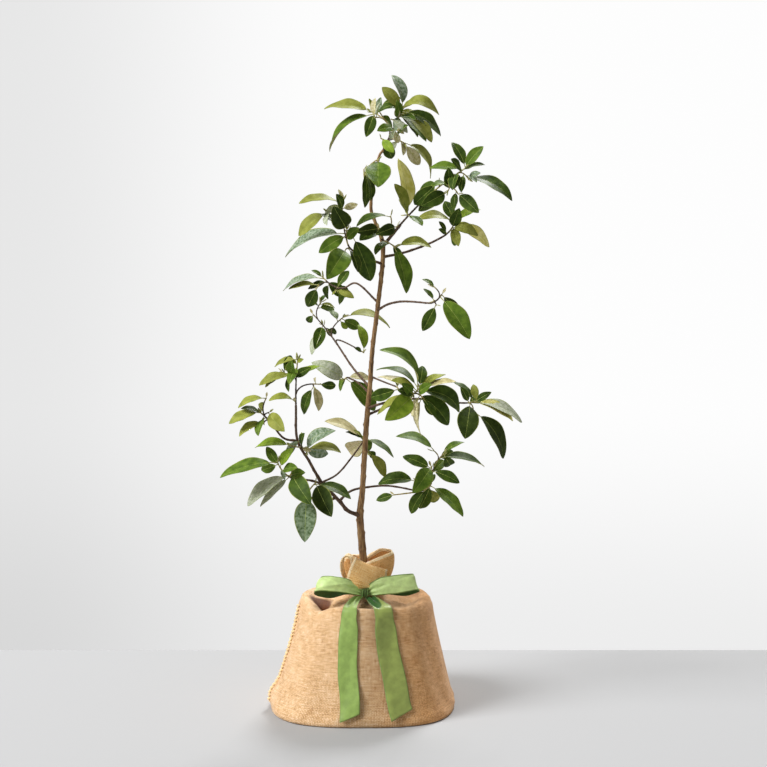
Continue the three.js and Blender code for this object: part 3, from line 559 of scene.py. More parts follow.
LOOKS = {
    "under": (leaf_material, "leaf_under", "#97985c", "#b9b982", 150, 0.7),
    "rib": (leaf_material, "leaf_rib", "#86954a", "#a9b563", 95, 0.5),
    "margin": (leaf_material, "leaf_margin", "#747f3c", "#939a4c", 95, 0.5),
    "stalk": (shoot_material, "leaf_stalk", "#8b8f45", "#b3b06c"),
    "shoot": (shoot_material, "green_shoot", "#84773f", "#b3a566"),
    "twig": (bark_material, "twig_bark", "#33291f", "#544334", "#7d6851", 420.0),
    "bough": (bark_material, "bough_bark", "#36281f", "#5e4736", "#8d7156", 380.0),
    "trunk": (bark_material, "trunk_bark", "#563b26", "#95724a", "#c6a574", 300.0),
    "burlap": (burlap_material, "burlap_weave", "#9a6b3f", "#dcb07c", "#f7dfc0", True),
    # painted light: the neck and flap are lighter copies of the burlap for the lit gathered mouth, and the hem cloth's
    # paler tone is a painted highlight on the rolled edges and the lobe
    "neck": (burlap_material, "burlap_neck", "#a8743a", "#eab06a", "#ffd79c"),
    "flap": (burlap_material, "burlap_flap", "#d0934f", "#ffcc80", "#ffe6b0"),
    "hem": (burlap_material, "burlap_hem", "#dcae72", "#ffe2ae", "#fff4d8"),
    "braid": (burlap_material, "burlap_braid", "#9a6f42", "#d8aa70", "#f0d2a2"),
    "ribbon": (ribbon_material, "ribbon_satin", "#8ba656"),
    # a duller copy of the satin: painted shade on the right tail
    "ribbon_olive": (ribbon_material, "ribbon_satin_olive", "#8e9d52"),
    # a paler copy of the satin: painted sheen and light on the bow's loops
    "ribbon_bow": (ribbon_material, "ribbon_satin_pale", "#c5de92"),
    # the reverse side, much darker than the satin: partly its duller back, mostly painted shade inside the loops and in
    # the right tail's fold
    "ribbon_reverse": (ribbon_material, "ribbon_back", "#2f5c27"),
    # a darker copy of the satin: painted shade in the knot's deep creases
    "ribbon_knot": (ribbon_material, "ribbon_drawn", "#5c793b"),
    "ribbon_edge": (ribbon_material, "ribbon_selvedge", "#75934a"),
}
MATERIALS = {}


def make_materials():
    for letter, tone in LEAF_TONES.items():
        MATERIALS["leaf_" + letter] = leaf_material("leaf_upper_" + letter, *tone, 0.48)
    for kind, (make, *values) in LOOKS.items():
        MATERIALS[kind] = make(*values)


# ---------------------------------------------------------------- limbs

def describe_limb(radii, path):
    curve = through(path)
    fine = Curve(curve.point, 20 * (len(radii) - 1))
    stops = fine.marks[::20] / fine.length
    return {"curve": curve, "radius": lambda share: float(np.interp(share, stops, radii))}


LIMBS = {name: describe_limb(*plan) for name, plan in LIMB_PLANS.items()}


def stream(seed):
    """A repeatable stream of numbers from 0 to 1."""
    state, wrap = seed * 7919, 2 ** 32
    while True:
        state = (state * 1664525 + 1013904223) % wrap
        yield state / wrap


# Sides round the limb, mm between rings and between old leaf scars, and how much its foot swells. The setback, a share
# of the radius, makes bark with its knobs as thick as the limb, on average.
BARK = {
    "trunk": {"seed": 501, "sides": 20, "step": 2.2, "spacing": 21, "foot": 0.0},
    "bough": {"seed": 510, "sides": 12, "step": 2.0, "spacing": 17, "foot": 0.28},
    "setback": 0.07, "knob_reach": 9, "knob_height": (0.1, 0.3), "knob_spread": (0.55, 1.45),
}


def knobs(length, spacing, numbers):
    """Old leaf scars along a limb: (place in mm, bearing in radians, height as a share of the radius)."""
    place, turn, found = 0.5 * spacing, 0.0, []
    while place < length:
        found.append((place, turn, mix(*BARK["knob_height"], next(numbers))))
        turn += LEAF_TURN
        place += spacing * mix(*BARK["knob_spread"], next(numbers))
    return found


def limb_mesh(limb, kind, number):
    """A limb with ridged bark, a knob at each old leaf scar, and a swollen foot."""
    plan = BARK[kind]
    numbers = stream(plan["seed"] + number)
    curve, radius = limb["curve"], limb["radius"]
    shares = np.linspace(0, 1, max(int(curve.length / plan["step"]), 6) + 1)
    scars = knobs(curve.length, plan["spacing"], numbers)
    ridge_turn = ALMOST_A_TURN * next(numbers)

    def relief(k, turn):
        place = shares[k] * curve.length
        rise = 0.035 * sin(5 * turn + ridge_turn + place * 0.05) + 0.03 * sin(0.33 * place + 2 * turn)
        rise -= BARK["setback"]
        for where, bearing, height in scars:
            off = abs(place - where)
            if off < BARK["knob_reach"]:
                lean = 0.5 + 0.5 * cos(turn - bearing)
                rise += height * lean ** 3 * hump(off, 0, 2.6) + 0.05 * hump(off, 0, 1.6)
        return radius(shares[k]) * rise

    radii = [radius(u) * (1 + plan["foot"] * hump(u * curve.length, 0, 7)) for u in shares]
    pile = Pile()
    tube(pile, [curve.at(u) for u in shares], radii, kind, plan["sides"], relief)
    return pile


def make_limbs():
    for number, (name, limb) in enumerate(LIMBS.items()):
        if name == "trunk":
            limb_mesh(limb, "trunk", number).build("trunk_bark", "bark", ["trunk"])
        else:
            limb_mesh(limb, "bough", number).build("bark_" + name, "bark", ["bough_" + name])


# ---------------------------------------------------------------- masses of leaves, by the source's rule

def read_shoots(text):
    """Shoots from their written form: each one's tip, its leaves' tones and its leaves' numbers."""
    shoots = []
    for line in text.split(";"):
        tip, leaves = line.split(":")
        rows = [leaf.split() for leaf in leaves.split(",")]
        numbers = [[float(part) for part in row[1:]] for row in rows]
        shoots.append((vec(*map(float, tip.split())), [row[0] for row in rows], numbers))
    return shoots


def bent_twig(start, ahead, tip, start_radius):
    straight = tip - start
    bend = start + ahead * np.linalg.norm(straight) * TWIG["follow"] + straight * TWIG["lead"]
    thin = min(start_radius, TWIG["thick"])
    return {
        "curve": bezier(start, bend, tip),
        "radius": lambda t: mix(start_radius if t == 0 else thin, TWIG["tip"], t),
    }


def describe_twig(tip, parents):
    """A twig leaves the nearest earlier one a little before its nearest point."""
    best = None
    for parent in parents:
        u = 0.1
        while u <= 1:
            gap = np.linalg.norm(parent["curve"].at(u) - tip)
            if best is None or gap < best[0]:
                best = (gap, parent, u)
            u += 0.05
    gap, parent, u = best
    u = max(u - TWIG["setback"] * gap / parent["curve"].length, 0.08)
    return bent_twig(parent["curve"].at(u), parent["curve"].tangent_at(u), tip, parent["radius"](u) * 0.9)


def describe_leaf(base, row, side, draws):
    """One leaf's middle line, the side its upper face looks to, and its true width."""
    bearing, reach, seen, arch = (*row, None, None)[:4]
    wanted = mix(*LEAF["typical"], draws[0]) if seen is None else seen * reach / LEAF["shape"]
    most = reach * LEAF["foreshorten"] if seen is None else LEAF["longest"]
    length = max(min(wanted, most), reach * LEAF["least"])
    width = LEAF["shape"] * length if seen is None else max(seen * reach, LEAF["shape"] * length)
    roll = radians(mix(*LEAF["roll"], draws[1])) if seen is None else acos(seen * reach / width)
    turn = radians(bearing)
    chord = vec(reach * cos(turn), side * sqrt(length ** 2 - reach ** 2), reach * sin(turn))
    front = square_to(vec(0, -1, 0), unit(chord))
    sky = vec(-sin(turn), 0, cos(turn)) * (-1 if cos(turn) < 0 else 1)
    up = front * cos(roll) + sky * sin(roll)
    if arch is None:
        rise = mix(*LEAF["arch"], draws[2]) * length
    else:
        rise = arch * reach / max(sin(roll), 0.5)
    crest = base + chord * 0.5 + up * 2 * rise
    return {"a": base, "b": crest, "c": base + chord, "up": up, "width": width, "reach": reach, "length": length}


def spine(leaf, t):
    """The place and the heading of a leaf's middle line."""
    a, b, c = leaf["a"], leaf["b"], leaf["c"]
    return (1 - t) ** 2 * a + 2 * t * (1 - t) * b + t * t * c, unit((1 - t) * (b - a) + t * (c - b))


def leaf_points(leaf):
    points = []
    for t in (0.3, 0.42, 0.55, 0.68, 0.8, 0.9, 1):
        place, along = spine(leaf, t)
        half = (0.2 if t > 0.85 else 0.42) * leaf["width"]
        across = unit(np.cross(leaf["up"], along))
        points += [place + across * s * half for s in (-1, 0, 1)]
    return points


def height_share(curve, height):
    share = 0
    while share < 1 and curve.at(share)[2] < height:
        share += 0.005
    return share


def is_free(marks, limb_places, limb_radii, taken, clear_leaf):
    """Whether marks are clear of the limbs and of the points that other masses have taken."""
    def away(others):
        return np.linalg.norm(np.array(marks)[:, None] - others[None], axis=2)

    return not ((away(limb_places) <= limb_radii + LEAF["clear_limb"]).any() or (away(taken) <= clear_leaf).any())


def describe_mass(limb, seed, height, shoots, obstacles):
    """The stem, twigs and leaves of one mass, each leaf with its tone, and the leaves' points."""
    numbers = stream(seed)
    curve = LIMBS[limb]["curve"]
    tips = [tip for tip, _, _ in shoots]
    if height:
        share = height_share(curve, height)
        start = curve.at(share)
        ahead = square_to(tips[0] - start, curve.tangent_at(share))
        thick = TWIG["thick"]
    else:
        ahead = curve.tangent_at(1)
        start = curve.at(1) + ahead * GAP
        thick = LIMBS[limb]["radius"](1)
    twigs = [bent_twig(start, ahead, tips[0], thick)]
    for tip in tips[1:]:
        twigs.append(describe_twig(tip, twigs))
    leaves, points = [], []
    for shoot, twig in zip(shoots, twigs):
        dress_shoot(shoot, twig, numbers, (*obstacles, LEAF["clear_leaf"]), leaves, points)
    return twigs, leaves, points


def dress_shoot(shoot, twig, numbers, clear_of, leaves, points):
    """Adds a shoot's leaves and their points; one that would touch what it has to be clear of is left off."""
    curve = twig["curve"]
    _, tones, rows = shoot
    outward = 1 if curve.point(1)[1] >= 0 else -1
    spacing = min(LEAF["spacing"], LEAF["cluster"] / len(rows))
    for i, row in enumerate(rows + [None] if len(rows) > 2 else rows):
        base = curve.at(max(1 - (i + 0.3) * spacing / curve.length, 0.3))
        draws = [next(numbers) for _ in range(4)]
        first = -outward if row and draws[3] < 0.5 else outward
        for side in ((first, -first) if row else (outward,)):
            leaf = describe_leaf(base, row or (360 * draws[3], LEAF["extra"]), side, draws)
            marks = leaf_points(leaf)
            if is_free(marks, *clear_of):
                leaf["tone"] = tones[i] if row else "dm"[i % 2]
                leaves.append(leaf)
                points += marks
                break


def outline(s, fullest):
    """Half the blade's width by the share s of its length, as a share of the most."""
    return sin(pi * min(s, 1) ** fullest) ** 0.72 if 0 < s < 1 else 0.0


def blade_mesh(pile, leaf, numbers):
    """A leathery blade with a folded, quilted and wavy upper face, a paler lower one, a midrib and a stalk."""
    young = leaf["reach"] < BLADE["young"]
    rows, columns = BLADE["rows"][young], BLADE["columns"]
    half_width = leaf["width"] / 2
    fold = mix(*BLADE["fold"], next(numbers))
    twist = mix(*BLADE["twist"], next(numbers))
    fullest = mix(*BLADE["fullest"], next(numbers))
    phases = [ALMOST_A_TURN * next(numbers), ALMOST_A_TURN * next(numbers)]
    ripples = mix(*BLADE["ripples"], next(numbers))
    start, middle = BLADE["stalk_share"], columns.index(None)
    upper, lower = [], []
    for r in range(rows):
        s = r / (rows - 1)
        centre, along = spine(leaf, mix(start, 1, s))
        top = square_to(leaf["up"], along)
        across = np.cross(top, along)
        turn = twist * (s - 0.3)
        top, across = (top * cos(turn) + across * sin(turn),
                       across * cos(turn) - top * sin(turn))
        half = max(half_width * outline(s, fullest), 0.25)
        rib = min(BLADE["rib"] * (1 - 0.6 * s), half * 0.5)
        for c, column in enumerate(columns):
            edge = column if column is not None else (-1 if c == middle else 1) * rib / half
            size = abs(edge)
            ripple = sin(ripples * ALMOST_A_TURN * s + phases[edge > 0])
            wave = BLADE["wave"] * half_width * size ** 2 * ripple
            vein = (s * (BLADE["veins"] + 1) - 0.75 * size) * pi
            quilt = BLADE["quilt"] * abs(sin(vein)) * (1 - size) * min(size * 6, 1) * (half > 5)
            lift = fold * half * size ** 1.35 + wave + quilt
            place = centre + across * edge * half + top * lift
            stand = BLADE["rib_stand"] if column is None and s < 0.85 else 0
            upper.append(place)
            lower.append(place - top * (BLADE["thick"] * (0.45 if size == 1 else 1) + stand))
    width = len(columns)
    count = rows * width
    faces = grid_faces(rows, width)
    places = [k % (width - 1) for k in range(len(faces))]
    tone = "leaf_" + leaf["tone"]
    special = {} if young else {middle: "rib", 0: "margin", width - 2: "margin"}
    rim = [*range(width), *range(2 * width - 1, count, width), *range(count - 2, count - width - 1, -1),
           *range((rows - 2) * width, 0, -width)]
    kinds = [special.get(place, tone) for place in places]
    kinds += ["rib" if place == middle else "under" for place in places] + [tone] * len(rim)
    faces += [tuple(i + count for i in reversed(face)) for face in faces]
    faces += [(b, a, a + count, b + count) for a, b in zip(rim, rim[1:] + rim[:1])]
    pile.add(upper + lower, faces, kinds)
    stalk = [spine(leaf, start * 1.6 * k / 5)[0] - leaf["up"] * 0.3 for k in range(6)]
    radii = [BLADE["stalk_radius"] * mix(1.25, 0.6, k / 5) * (0.7 if young else 1) for k in range(6)]
    tube(pile, stalk, radii, "stalk", 6)


def bud_leaves(twig, numbers, many):
    """Tiny new leaves round a shoot's tip, still folded upwards."""
    tip, ahead = twig["curve"].at(1), twig["curve"].tangent_at(1)
    side = square_to(vec(0.3, -0.5, 0.8), ahead)
    found = []
    for k in range(many):
        turn = LEAF_TURN * k + ALMOST_A_TURN * next(numbers)
        reach = mix(*BUD["reach"], next(numbers))
        out = side * cos(turn) + np.cross(ahead, side) * sin(turn)
        heading = unit(ahead + out * BUD["spread"] + vec(0, 0, 0.5))
        base = tip - ahead * BUD["apart"] * k
        up = square_to(ahead * 0.6 - out, heading)
        crest = base + heading * reach * 0.5 - up * reach * 0.12
        found.append({"a": base, "b": crest, "c": base + heading * reach, "up": up, "reach": reach,
                      "width": reach * BUD["width"], "length": reach, "tone": "y" if k % 3 else "c"})
    return found


def twig_mesh(pile, twig, numbers, green_from):
    """A twig with a ring at each old leaf, dark at first and green from a share of its length on."""
    curve, radius = twig["curve"], twig["radius"]
    shares = np.linspace(0, 1, max(int(curve.length / TWIG["step"]), 5) + 1)
    spacing = mix(*TWIG["rings"], next(numbers))
    radii = []
    for u in shares:
        ring = hump((u * curve.length) % spacing, spacing / 2, 0.8)
        radii.append(max(radius(max(u, 0.01)), TWIG["least"]) * (1 + 0.22 * ring))
    tube(pile, [curve.at(u) for u in shares], radii, lambda s: "shoot" if s > green_from else "twig", 8)


DARK_TWIGS = {"left_upright", "left_thin", "left_outer", "right_mid", "left_mid", "mid_back"}
GREEN_FROM = {"dark": 0.8, "light": 0.35, "fine": 0.0}
FINER_SEED = 700                     # added to a mass's seed for what is finer than the source


def make_masses():
    places, radii = [], []
    for limb in LIMBS.values():
        count = ceil(limb["curve"].length / LEAF["limb_marks"])
        for k in range(count + 1):
            places.append(limb["curve"].at(k / count))
            radii.append(limb["radius"](k / count))
    places, radii, taken = np.array(places), np.array(radii), np.zeros((0, 3))
    for name, (limb, seed, height, text) in MASSES.items():
        shoots = read_shoots(text)
        twigs, leaves, points = describe_mass(limb, seed, height, shoots, (places, radii, taken))
        taken = np.concatenate([taken, np.array(points)])
        numbers = stream(seed + FINER_SEED)
        fine_twigs = []
        for shoot in read_shoots(FINE[name]) if name in FINE else []:
            fine_twigs.append(describe_twig(shoot[0], twigs))
            dress_shoot(shoot, fine_twigs[-1], numbers, (places, radii, taken, LEAF["clear_fine"]), leaves, points)
        pile = Pile()
        for leaf in leaves:
            blade_mesh(pile, leaf, numbers)
        for twig, (_, _, rows) in zip(twigs, shoots):
            for leaf in bud_leaves(twig, numbers, BUD["leaves"] if len(rows) > 2 else 1):
                blade_mesh(pile, leaf, numbers)
        pile.build("foliage_" + name, "foliage", ["leaves_" + name])
        pile = Pile()
        for twig in twigs:
            twig_mesh(pile, twig, numbers, GREEN_FROM["dark" if name in DARK_TWIGS else "light"])
        for twig in fine_twigs:
            twig_mesh(pile, twig, numbers, GREEN_FROM["fine"])
        pile.build("twigs_" + name, "bark", ["leaves_" + name])


# ---------------------------------------------------------------- burlap

def wall_radius(z):
    return mix(SACK["rim"], SACK["base"], max(1 - z / SACK["draw_height"], 0) ** SACK["belly"])


def sack_point(angle, radius, z):
    """A point of the wrap by the source's plan, before the finer folds."""
    rise = min(z / SACK["height"], 1)
    power = mix(SACK["square_base"], SACK["square_rim"], rise)
    round_plan = (abs(cos(angle)) ** power + abs(sin(angle)) ** power) ** (-1 / power)
    share = min(radius / SACK["rim"], 1) ** 2
    r = radius * mix(1, round_plan, share)
    return vec(r * cos(angle) + SACK["lean"] * rise, r * SACK["depth"] * sin(angle), z)


def nearness(angle, centre, spread):
    """1 at a bearing, falling off round it; centre and spread are in degrees."""
    off = (degrees(angle) - centre + 180) % 360 - 180
    return exp(-(off / spread) ** 2)


# each soft fold of the wall: folds a turn, depth in mm, phase, and how far it slants on its way up
FOLDS = [(2, 0.9, 0.4, 1.4), (5, 1.2, 2.1, 1.9), (9, 0.8, 4.0, -1.6), (14, 0.5, 1.0, 2.4)]
SEAM = 196                           # bearing of the sack's edge, in degrees
EAR = {"out": 8.5, "height": 29, "spread": 16, "turn": 9}


def fold_depth(angle, rise):
    """How far the soft vertical folds stand out of the wall."""
    depth = sum(size * sin(count * angle + phase + sway * rise) for count, size, phase, sway in FOLDS)
    depth += 2.0 * nearness(angle, 318 - 8 * rise, 8) - 2.2 * nearness(angle, 330 - 8 * rise, 9)
    depth += 1.8 * nearness(angle, 236 - 14 * rise, 8) * (0.4 + 0.6 * rise) - 2.0 * nearness(angle, 224, 9)
    return depth


def ear(angle, z):
    """The sack's corner, which sticks out at the foot of its seam."""
    return EAR["out"] * nearness(angle, SEAM, EAR["turn"]) * hump(z, EAR["height"], EAR["spread"])


def foot_pucker(angle, z):
    """The cloth bulges and puckers where it meets the ground."""
    return (2.6 + 0.9 * sin(19 * angle) + 0.7 * sin(31 * angle + 2)) * hump(z, 9, 8)


def rim_rise(angle):
    """How far the rolled rim stands over its mean height."""
    return (1.2 * sin(3 * angle + 1.2) + 4.5 * nearness(angle, 176, 20)
            - 11.0 * nearness(angle, 221, 13) + 2.0 * nearness(angle, 352, 18))


def wall_relief(angle, z):
    """How far the folds, the ear and the pucker together stand out of the wall."""
    return fold_depth(angle, min(z / SACK["height"], 1)) + ear(angle, z) + foot_pucker(angle, z)


def fold_share(z):
    """The folds start from nothing at the ground."""
    return min(z / 14, 1)


def rim_lift(angle, z):
    """The rim's rise, as much as the cloth at this height follows it."""
    return rim_rise(angle) * smooth((z - 150) / 28)


HOLLOW = {"bearing": 207, "turn": 15, "radius": 77, "spread": 15, "deep": 30}


def pit(angle, radius):
    """How near a place is to the deep hollow at the rim's left front, from 0 to 1."""
    return nearness(angle, HOLLOW["bearing"], HOLLOW["turn"]) * hump(radius, HOLLOW["radius"], HOLLOW["spread"])


def top_height(angle, radius):
    """The cloth inside the rim: a slack ring with a deep hollow at its left front, then up to the tie."""
    draw = smooth((88 - radius) / 50)
    slack = 175 + 2.5 * draw - 4.5 * hump(radius, 70, 15)
    pleats = 2.0 * sin(11 * angle + 0.6) * sin(pi * min(draw * 1.1, 1))
    hollow = HOLLOW["deep"] * pit(angle, radius)
    ridge = 6 * nearness(angle, 238, 6) * hump(radius, 84, 13)
    return slack + pleats - hollow + ridge + 17 * smooth((42 - radius) / 21) ** 1.3


def sack_rings():
    """(radius, height, share of the folds, whether inside the rim) from the sole up and in to the neck."""
    sole = [(r, 0, 0.1 if r == SACK["sole"] else 0, False) for r in (0.001, 60, 110, 140, SACK["sole"])]
    wall = [(wall_radius(z), z, fold_share(z), False) for z in np.linspace(2, SACK["wall_top"], 44)]
    rim = [(107.5, 172.5, 1, False), (106, 177, 1, False), (102.5, 180, 1, False), (97, 180.5, 0.9, False),
           (92, 178.6, 0.7, False), (88, 176, 0.5, False)]
    top = [(r, 0, 0, True) for r in (85, 82, 79, 76, 73, 70, 66, 62, 57, 52, 47, 42, 38, 34, 30, 26, 22)]
    return sole + wall + rim + top


# steps round the wrap, and the radius and the ruffle's length that the weave is laid out by
WEAVE = {"sides": 240, "radius": 128, "ruffle": 62}


def sack_mesh():
    points, spots = [], []
    run, before = 0.0, None
    rings = sack_rings()
    for radius, z, folded, inside in rings:
        level = top_height(0, radius) if inside else z
        if before:
            run += hypot(radius - before[0], level - before[1])
        before = (radius, level)
        for i in range(WEAVE["sides"] + 1):
            angle = 2 * pi * i / WEAVE["sides"]
            place = sack_point(angle, radius, SACK["height"] if inside else z)
            place += outwards(angle) * (0 if inside else folded * wall_relief(angle, z))
            lift = rim_lift(angle, level) * smooth((radius - 55) / 35)
            place[2] = (top_height(angle, radius) if inside else z) + (lift if z or inside else 0)
            points.append(place)
            spots.append((angle * WEAVE["radius"] / THREAD, run / THREAD))
    pile = Pile()
    add_grid(pile, points, len(rings), WEAVE["sides"] + 1, lambda r, c: "burlap", spots)
    return pile


def weld(piece, distance=1e-5):
    """Merges a mesh's coincident points, which are under distance apart in metres, and turns its faces outwards."""
    shape = bmesh.new()
    shape.from_mesh(piece.data)
    bmesh.ops.remove_doubles(shape, verts=shape.verts, dist=distance)
    bmesh.ops.recalc_face_normals(shape, faces=shape.faces)
    shape.to_mesh(piece.data)
    shape.free()


def wall_place(turn, z, stand):
    """A point that stands off the burlap's wall, at a bearing in degrees."""
    angle = radians(turn)
    out = stand + fold_share(z) * wall_relief(angle, z)
    place = sack_point(angle, wall_radius(z), z) + outwards(angle) * out
    place[2] += rim_lift(angle, z)
    return place


BRAID = {"links": 27, "half": 2.3, "ply": 1.9, "top": 171, "foot": 12, "stand": 0.9, "steps": 420}


def seam_mesh():
    """The sack's edge: two plies that cross at each stitch, down the wall and round the ear."""
    pile = Pile()
    steps = BRAID["steps"]
    for phase in (0, pi):
        centres, radii = [], []
        for k in range(steps + 1):
            t = k / steps
            angle = radians(SEAM + 2.5 * sin(5 * t) + 2 * t)
            swing = pi * BRAID["links"] * t + phase
            out, side = outwards(angle), vec(-sin(angle), cos(angle), 0)
            centre = wall_place(degrees(angle), mix(BRAID["top"], BRAID["foot"], t), BRAID["stand"])
            centres.append(centre + BRAID["half"] * (side * cos(swing) + out * 0.6 * sin(2 * swing)))
            radii.append(BRAID["ply"] * (0.6 if k in (0, steps) else 1 + 0.1 * sin(k)))
        tube(pile, centres, radii, "braid", 8)
    return pile


def cloth_sheet(pile, middles, acrosses, widths, waves, kinds, scale, rows=48, columns=17):
    """A strip through middles, with its width direction and width at each and a ripple across.

    kinds names the cloth and its two edges, and scale is the weave's unit in mm.
    """
    line, spread = through(middles), through(acrosses)
    points, spots = [], []
    for r in range(rows):
        share = r / (rows - 1)
        t = line.share(share)
        ahead = line.tangent(t)
        side = square_to(spread.point(t), ahead)
        face = np.cross(ahead, side)
        half = spread_value(widths, t) / 2
        for c in range(columns):
            u = from_middle(c, columns)
            points.append(line.point(t) + side * u * half + face * waves(share, u))
            spots.append((u * max(widths) / 2 / scale, share * line.length / scale))
    add_grid(pile, points, rows, columns, lambda r, c: kinds[c in (0, columns - 2)], spots)


def ruffle(pile, hem, tie, bulge, gathers=7, spring=1.0):
    """A fold of the sack's mouth: cloth from the tie out to an open hem.

    tie holds its first and last bearing at the neck, in degrees, and bulge is how far it swells. A spring under 1
    sends it out before it rises.
    """
    curve = through(hem)
    rows, columns = 24, 45
    points, spots = [], []
    for r in range(rows):
        v = r / (rows - 1)
        for c in range(columns):
            s = c / (columns - 1)
            out = outwards(radians(mix(*tie, s)))
            foot = vec(*NECK["centre"], TIE["height"]) + out * TIE["radius"]
            swell = bulge * sin(pi * v) ** 0.8
            swell += 1.5 * sin(gathers * pi * s + 0.7) * (1 - v) ** 1.6 * min(v * 8, 1)
            roll = 2.2 * hump(v, 1, 0.07)
            reach = vec(v ** spring, v ** spring, v)
            points.append(mix(foot, curve.at(s), reach) + out * (swell - roll) - vec(0, 0, 0.8 * roll))
            spots.append((s * curve.length / THREAD, v * WEAVE["ruffle"] / THREAD))
    # the last rows in the hem cloth, a painted highlight, the rest in the neck cloth, a lighter copy with painted light
    add_grid(pile, points, rows, columns, lambda r, c: "hem" if r > rows - 4 else "neck", spots)


def neck_mesh():
    """The sack's gathered mouth: a flap and a looped lobe in front, an open pocket at the right, and back folds."""
    pile = Pile()

    def creases(t, u):
        pleats = 1.9 * hump(t, 0.1, 0.13) * sin(8 * u + 0.8) + 0.9 * sin(2.6 * u + 5 * t)
        groove = 3.0 * hump(u, -0.22 - 0.6 * (t - 0.14), 0.1) * hump(t, 0.15, 0.1)
        bulge = 2.4 * hump(u, -0.5, 0.18) * hump(t, 0.2, 0.09)
        slack = 4.2 * hump(u, -0.3, 0.5) * hump(t, 0.3, 0.1)
        return pleats - slack - groove + bulge + 1.8 * hump(u - 2.4 * t, -0.2, 0.18)

    flap = [(4, -17, 191), (3, -29, 196), (1, -41, 202), (2, -44, 208), (6, -38, 219), (11, -30, 229), (14, -21, 235),
            (14, -15, 231), (10, -12, 216), (6, -12, 196)]
    along_flap = [(1, 0, -0.1)] + [(0.93, 0.07, -0.3)] * 2 + [(0.93, 0.07, -0.42)] * 6 + [(1, 0, -0.1)]
    # the flap in a lighter copy of the burlap with painted light, its edges in the hem cloth's painted highlight
    cloth_sheet(pile, flap, along_flap, [18, 34, 50, 60, 62, 62, 60, 52, 38, 18], creases, ("flap", "hem"), THREAD)

    ruffle(pile, [(-1, -13, 236), (10, -13, 241), (24, -11, 247), (38, -7, 252), (48, -2, 255.5), (50, 6, 257),
                  (44, 15, 258), (30, 19, 258), (17, 17, 250), (6, 12, 243)], (280, 400), 7, spring=0.38)
    lobe = [(-8, -22, 196), (-21, -24, 206), (-31, -24, 220), (-34, -23, 235), (-32, -21, 247), (-25, -20, 252.5),
            (-18, -20, 247), (-17, -21, 234), (-22, -22, 220), (-15, -21, 206), (-6, -20, 197)]
    # the lobe all in the hem cloth, a painted highlight
    cloth_sheet(pile, lobe, [(0.25, 1, 0.12)] * 11, [8, 11, 13, 14, 14, 14, 14, 13, 12, 10, 8],
                lambda t, u: 0.8 * sin(9 * t + 2 * u), ("hem", "hem"), THREAD, 60, 13)
    ruffle(pile, [(-30, -6, 248), (-24, -10, 250), (-16, -11, 251), (-9, -9, 246), (0, -8, 240)], (200, 262), 1, 5)
    ruffle(pile, [(5, 14, 242), (12, 26, 247), (22, 37, 251), (34, 36, 253), (38, 24, 251)], (28, 108), 8)
    ruffle(pile, [(6, 20, 242), (-2, 34, 244), (-16, 39, 244), (-28, 32, 244), (-26, 18, 243)], (78, 172), 8)
    ruffle(pile, [(-14, 8, 244), (-24, 12, 247), (-32, 4, 248), (-30, -5, 245), (-22, -4, 241)], (140, 212), 6, 5)
    ruffle(pile, [(9, 3, 231), (0, 11, 233), (-9, 2, 231), (0, -8, 229), (9, 3, 231)], (0, 360), 1, 16)
    return pile


def thicken(piece, thickness, reverse=None):
    """Gives a sheet of cloth its thickness and its reverse side's material, and applies them."""
    modifier = piece.modifiers.new("thickness", "SOLIDIFY")
    modifier.thickness = thickness * MM
    modifier.offset = 0
    if reverse:
        modifier.material_offset = len(piece.data.materials)
        piece.data.materials.append(MATERIALS[reverse])
    graph = bpy.context.evaluated_depsgraph_get()
    piece.data = bpy.data.meshes.new_from_object(piece.evaluated_get(graph))
    piece.modifiers.clear()


# ---------------------------------------------------------------- ribbon

RIBBON_HALF = 15.5                   # the half width its map is laid out by
LOOPS = {
    "left": {
        "path": [(1, -40, 194), (-11, -48, 201), (-28, -55, 209), (-50, -57, 212.5), (-67, -53, 212.5), (-75, -44, 208),
                 (-70, -35, 199.5), (-53, -31, 195), (-30, -31, 198), (-10, -34, 195), (1, -37, 193)],
        "widths": [9, 18, 24, 25.5, 25, 24, 26, 25, 18, 13, 9], "phase": 0.4,
    },
    "right": {
        "path": [(7, -40, 194), (17, -47, 201), (33, -53, 208), (54, -55, 211), (74, -53, 213.5), (87, -46, 213.5),
                 (87, -37, 207), (70, -31, 199), (44, -30, 199), (20, -34, 196), (7, -37, 193)],
        "widths": [9, 22, 29.5, 31, 29, 27.5, 27, 26, 20, 13, 9], "phase": 2.1,
    },
}
TAILS = {
    "left": {
        "out": [(41, 188, 264, 5.0), (52, 188, 257, 7), (70, 186.5, 255.2, 9), (88, 185, 256, 10),
                (99, 184.5, 256.5, 10.6), (107, 182, 257, 11.2), (112, 175.5, 257, 12.4)],
        "bearings": [256.8, 257.2, 258.6, 260, 261.5, 262.6], "half": 14.7, "hem": (10, 23), "phase": 0.0, "fold": 2.5,
        "satin": "ribbon",
    },
    "right": {
        "out": [(41, 187, 276, 5.0), (52, 187.5, 281, 9), (70, 186, 284, 12.5), (88, 185.5, 285, 14.5),
                (99, 186, 285.2, 15), (107, 183.5, 285.4, 15), (112, 176, 285.6, 15)],
        "bearings": [285.8, 287.5, 289, 290.3, 291.7, 293.8], "half": 17.3, "hem": (12, 27), "phase": 1.9, "fold": 8.0,
        # the right tail's satin is the duller copy, painted shade
        "satin": "ribbon_olive",
    },
}
LOOP_LEAN = [0, 0.2, 0.32, 0.36, 0.34, 0.25, 0.05, -0.1, -0.1, 0, 0]   # of the width, forwards where under 0
KNOT = {"place": (4, -43, 193.5), "half": 5.0, "deep": 6.5, "tall": 8.4}


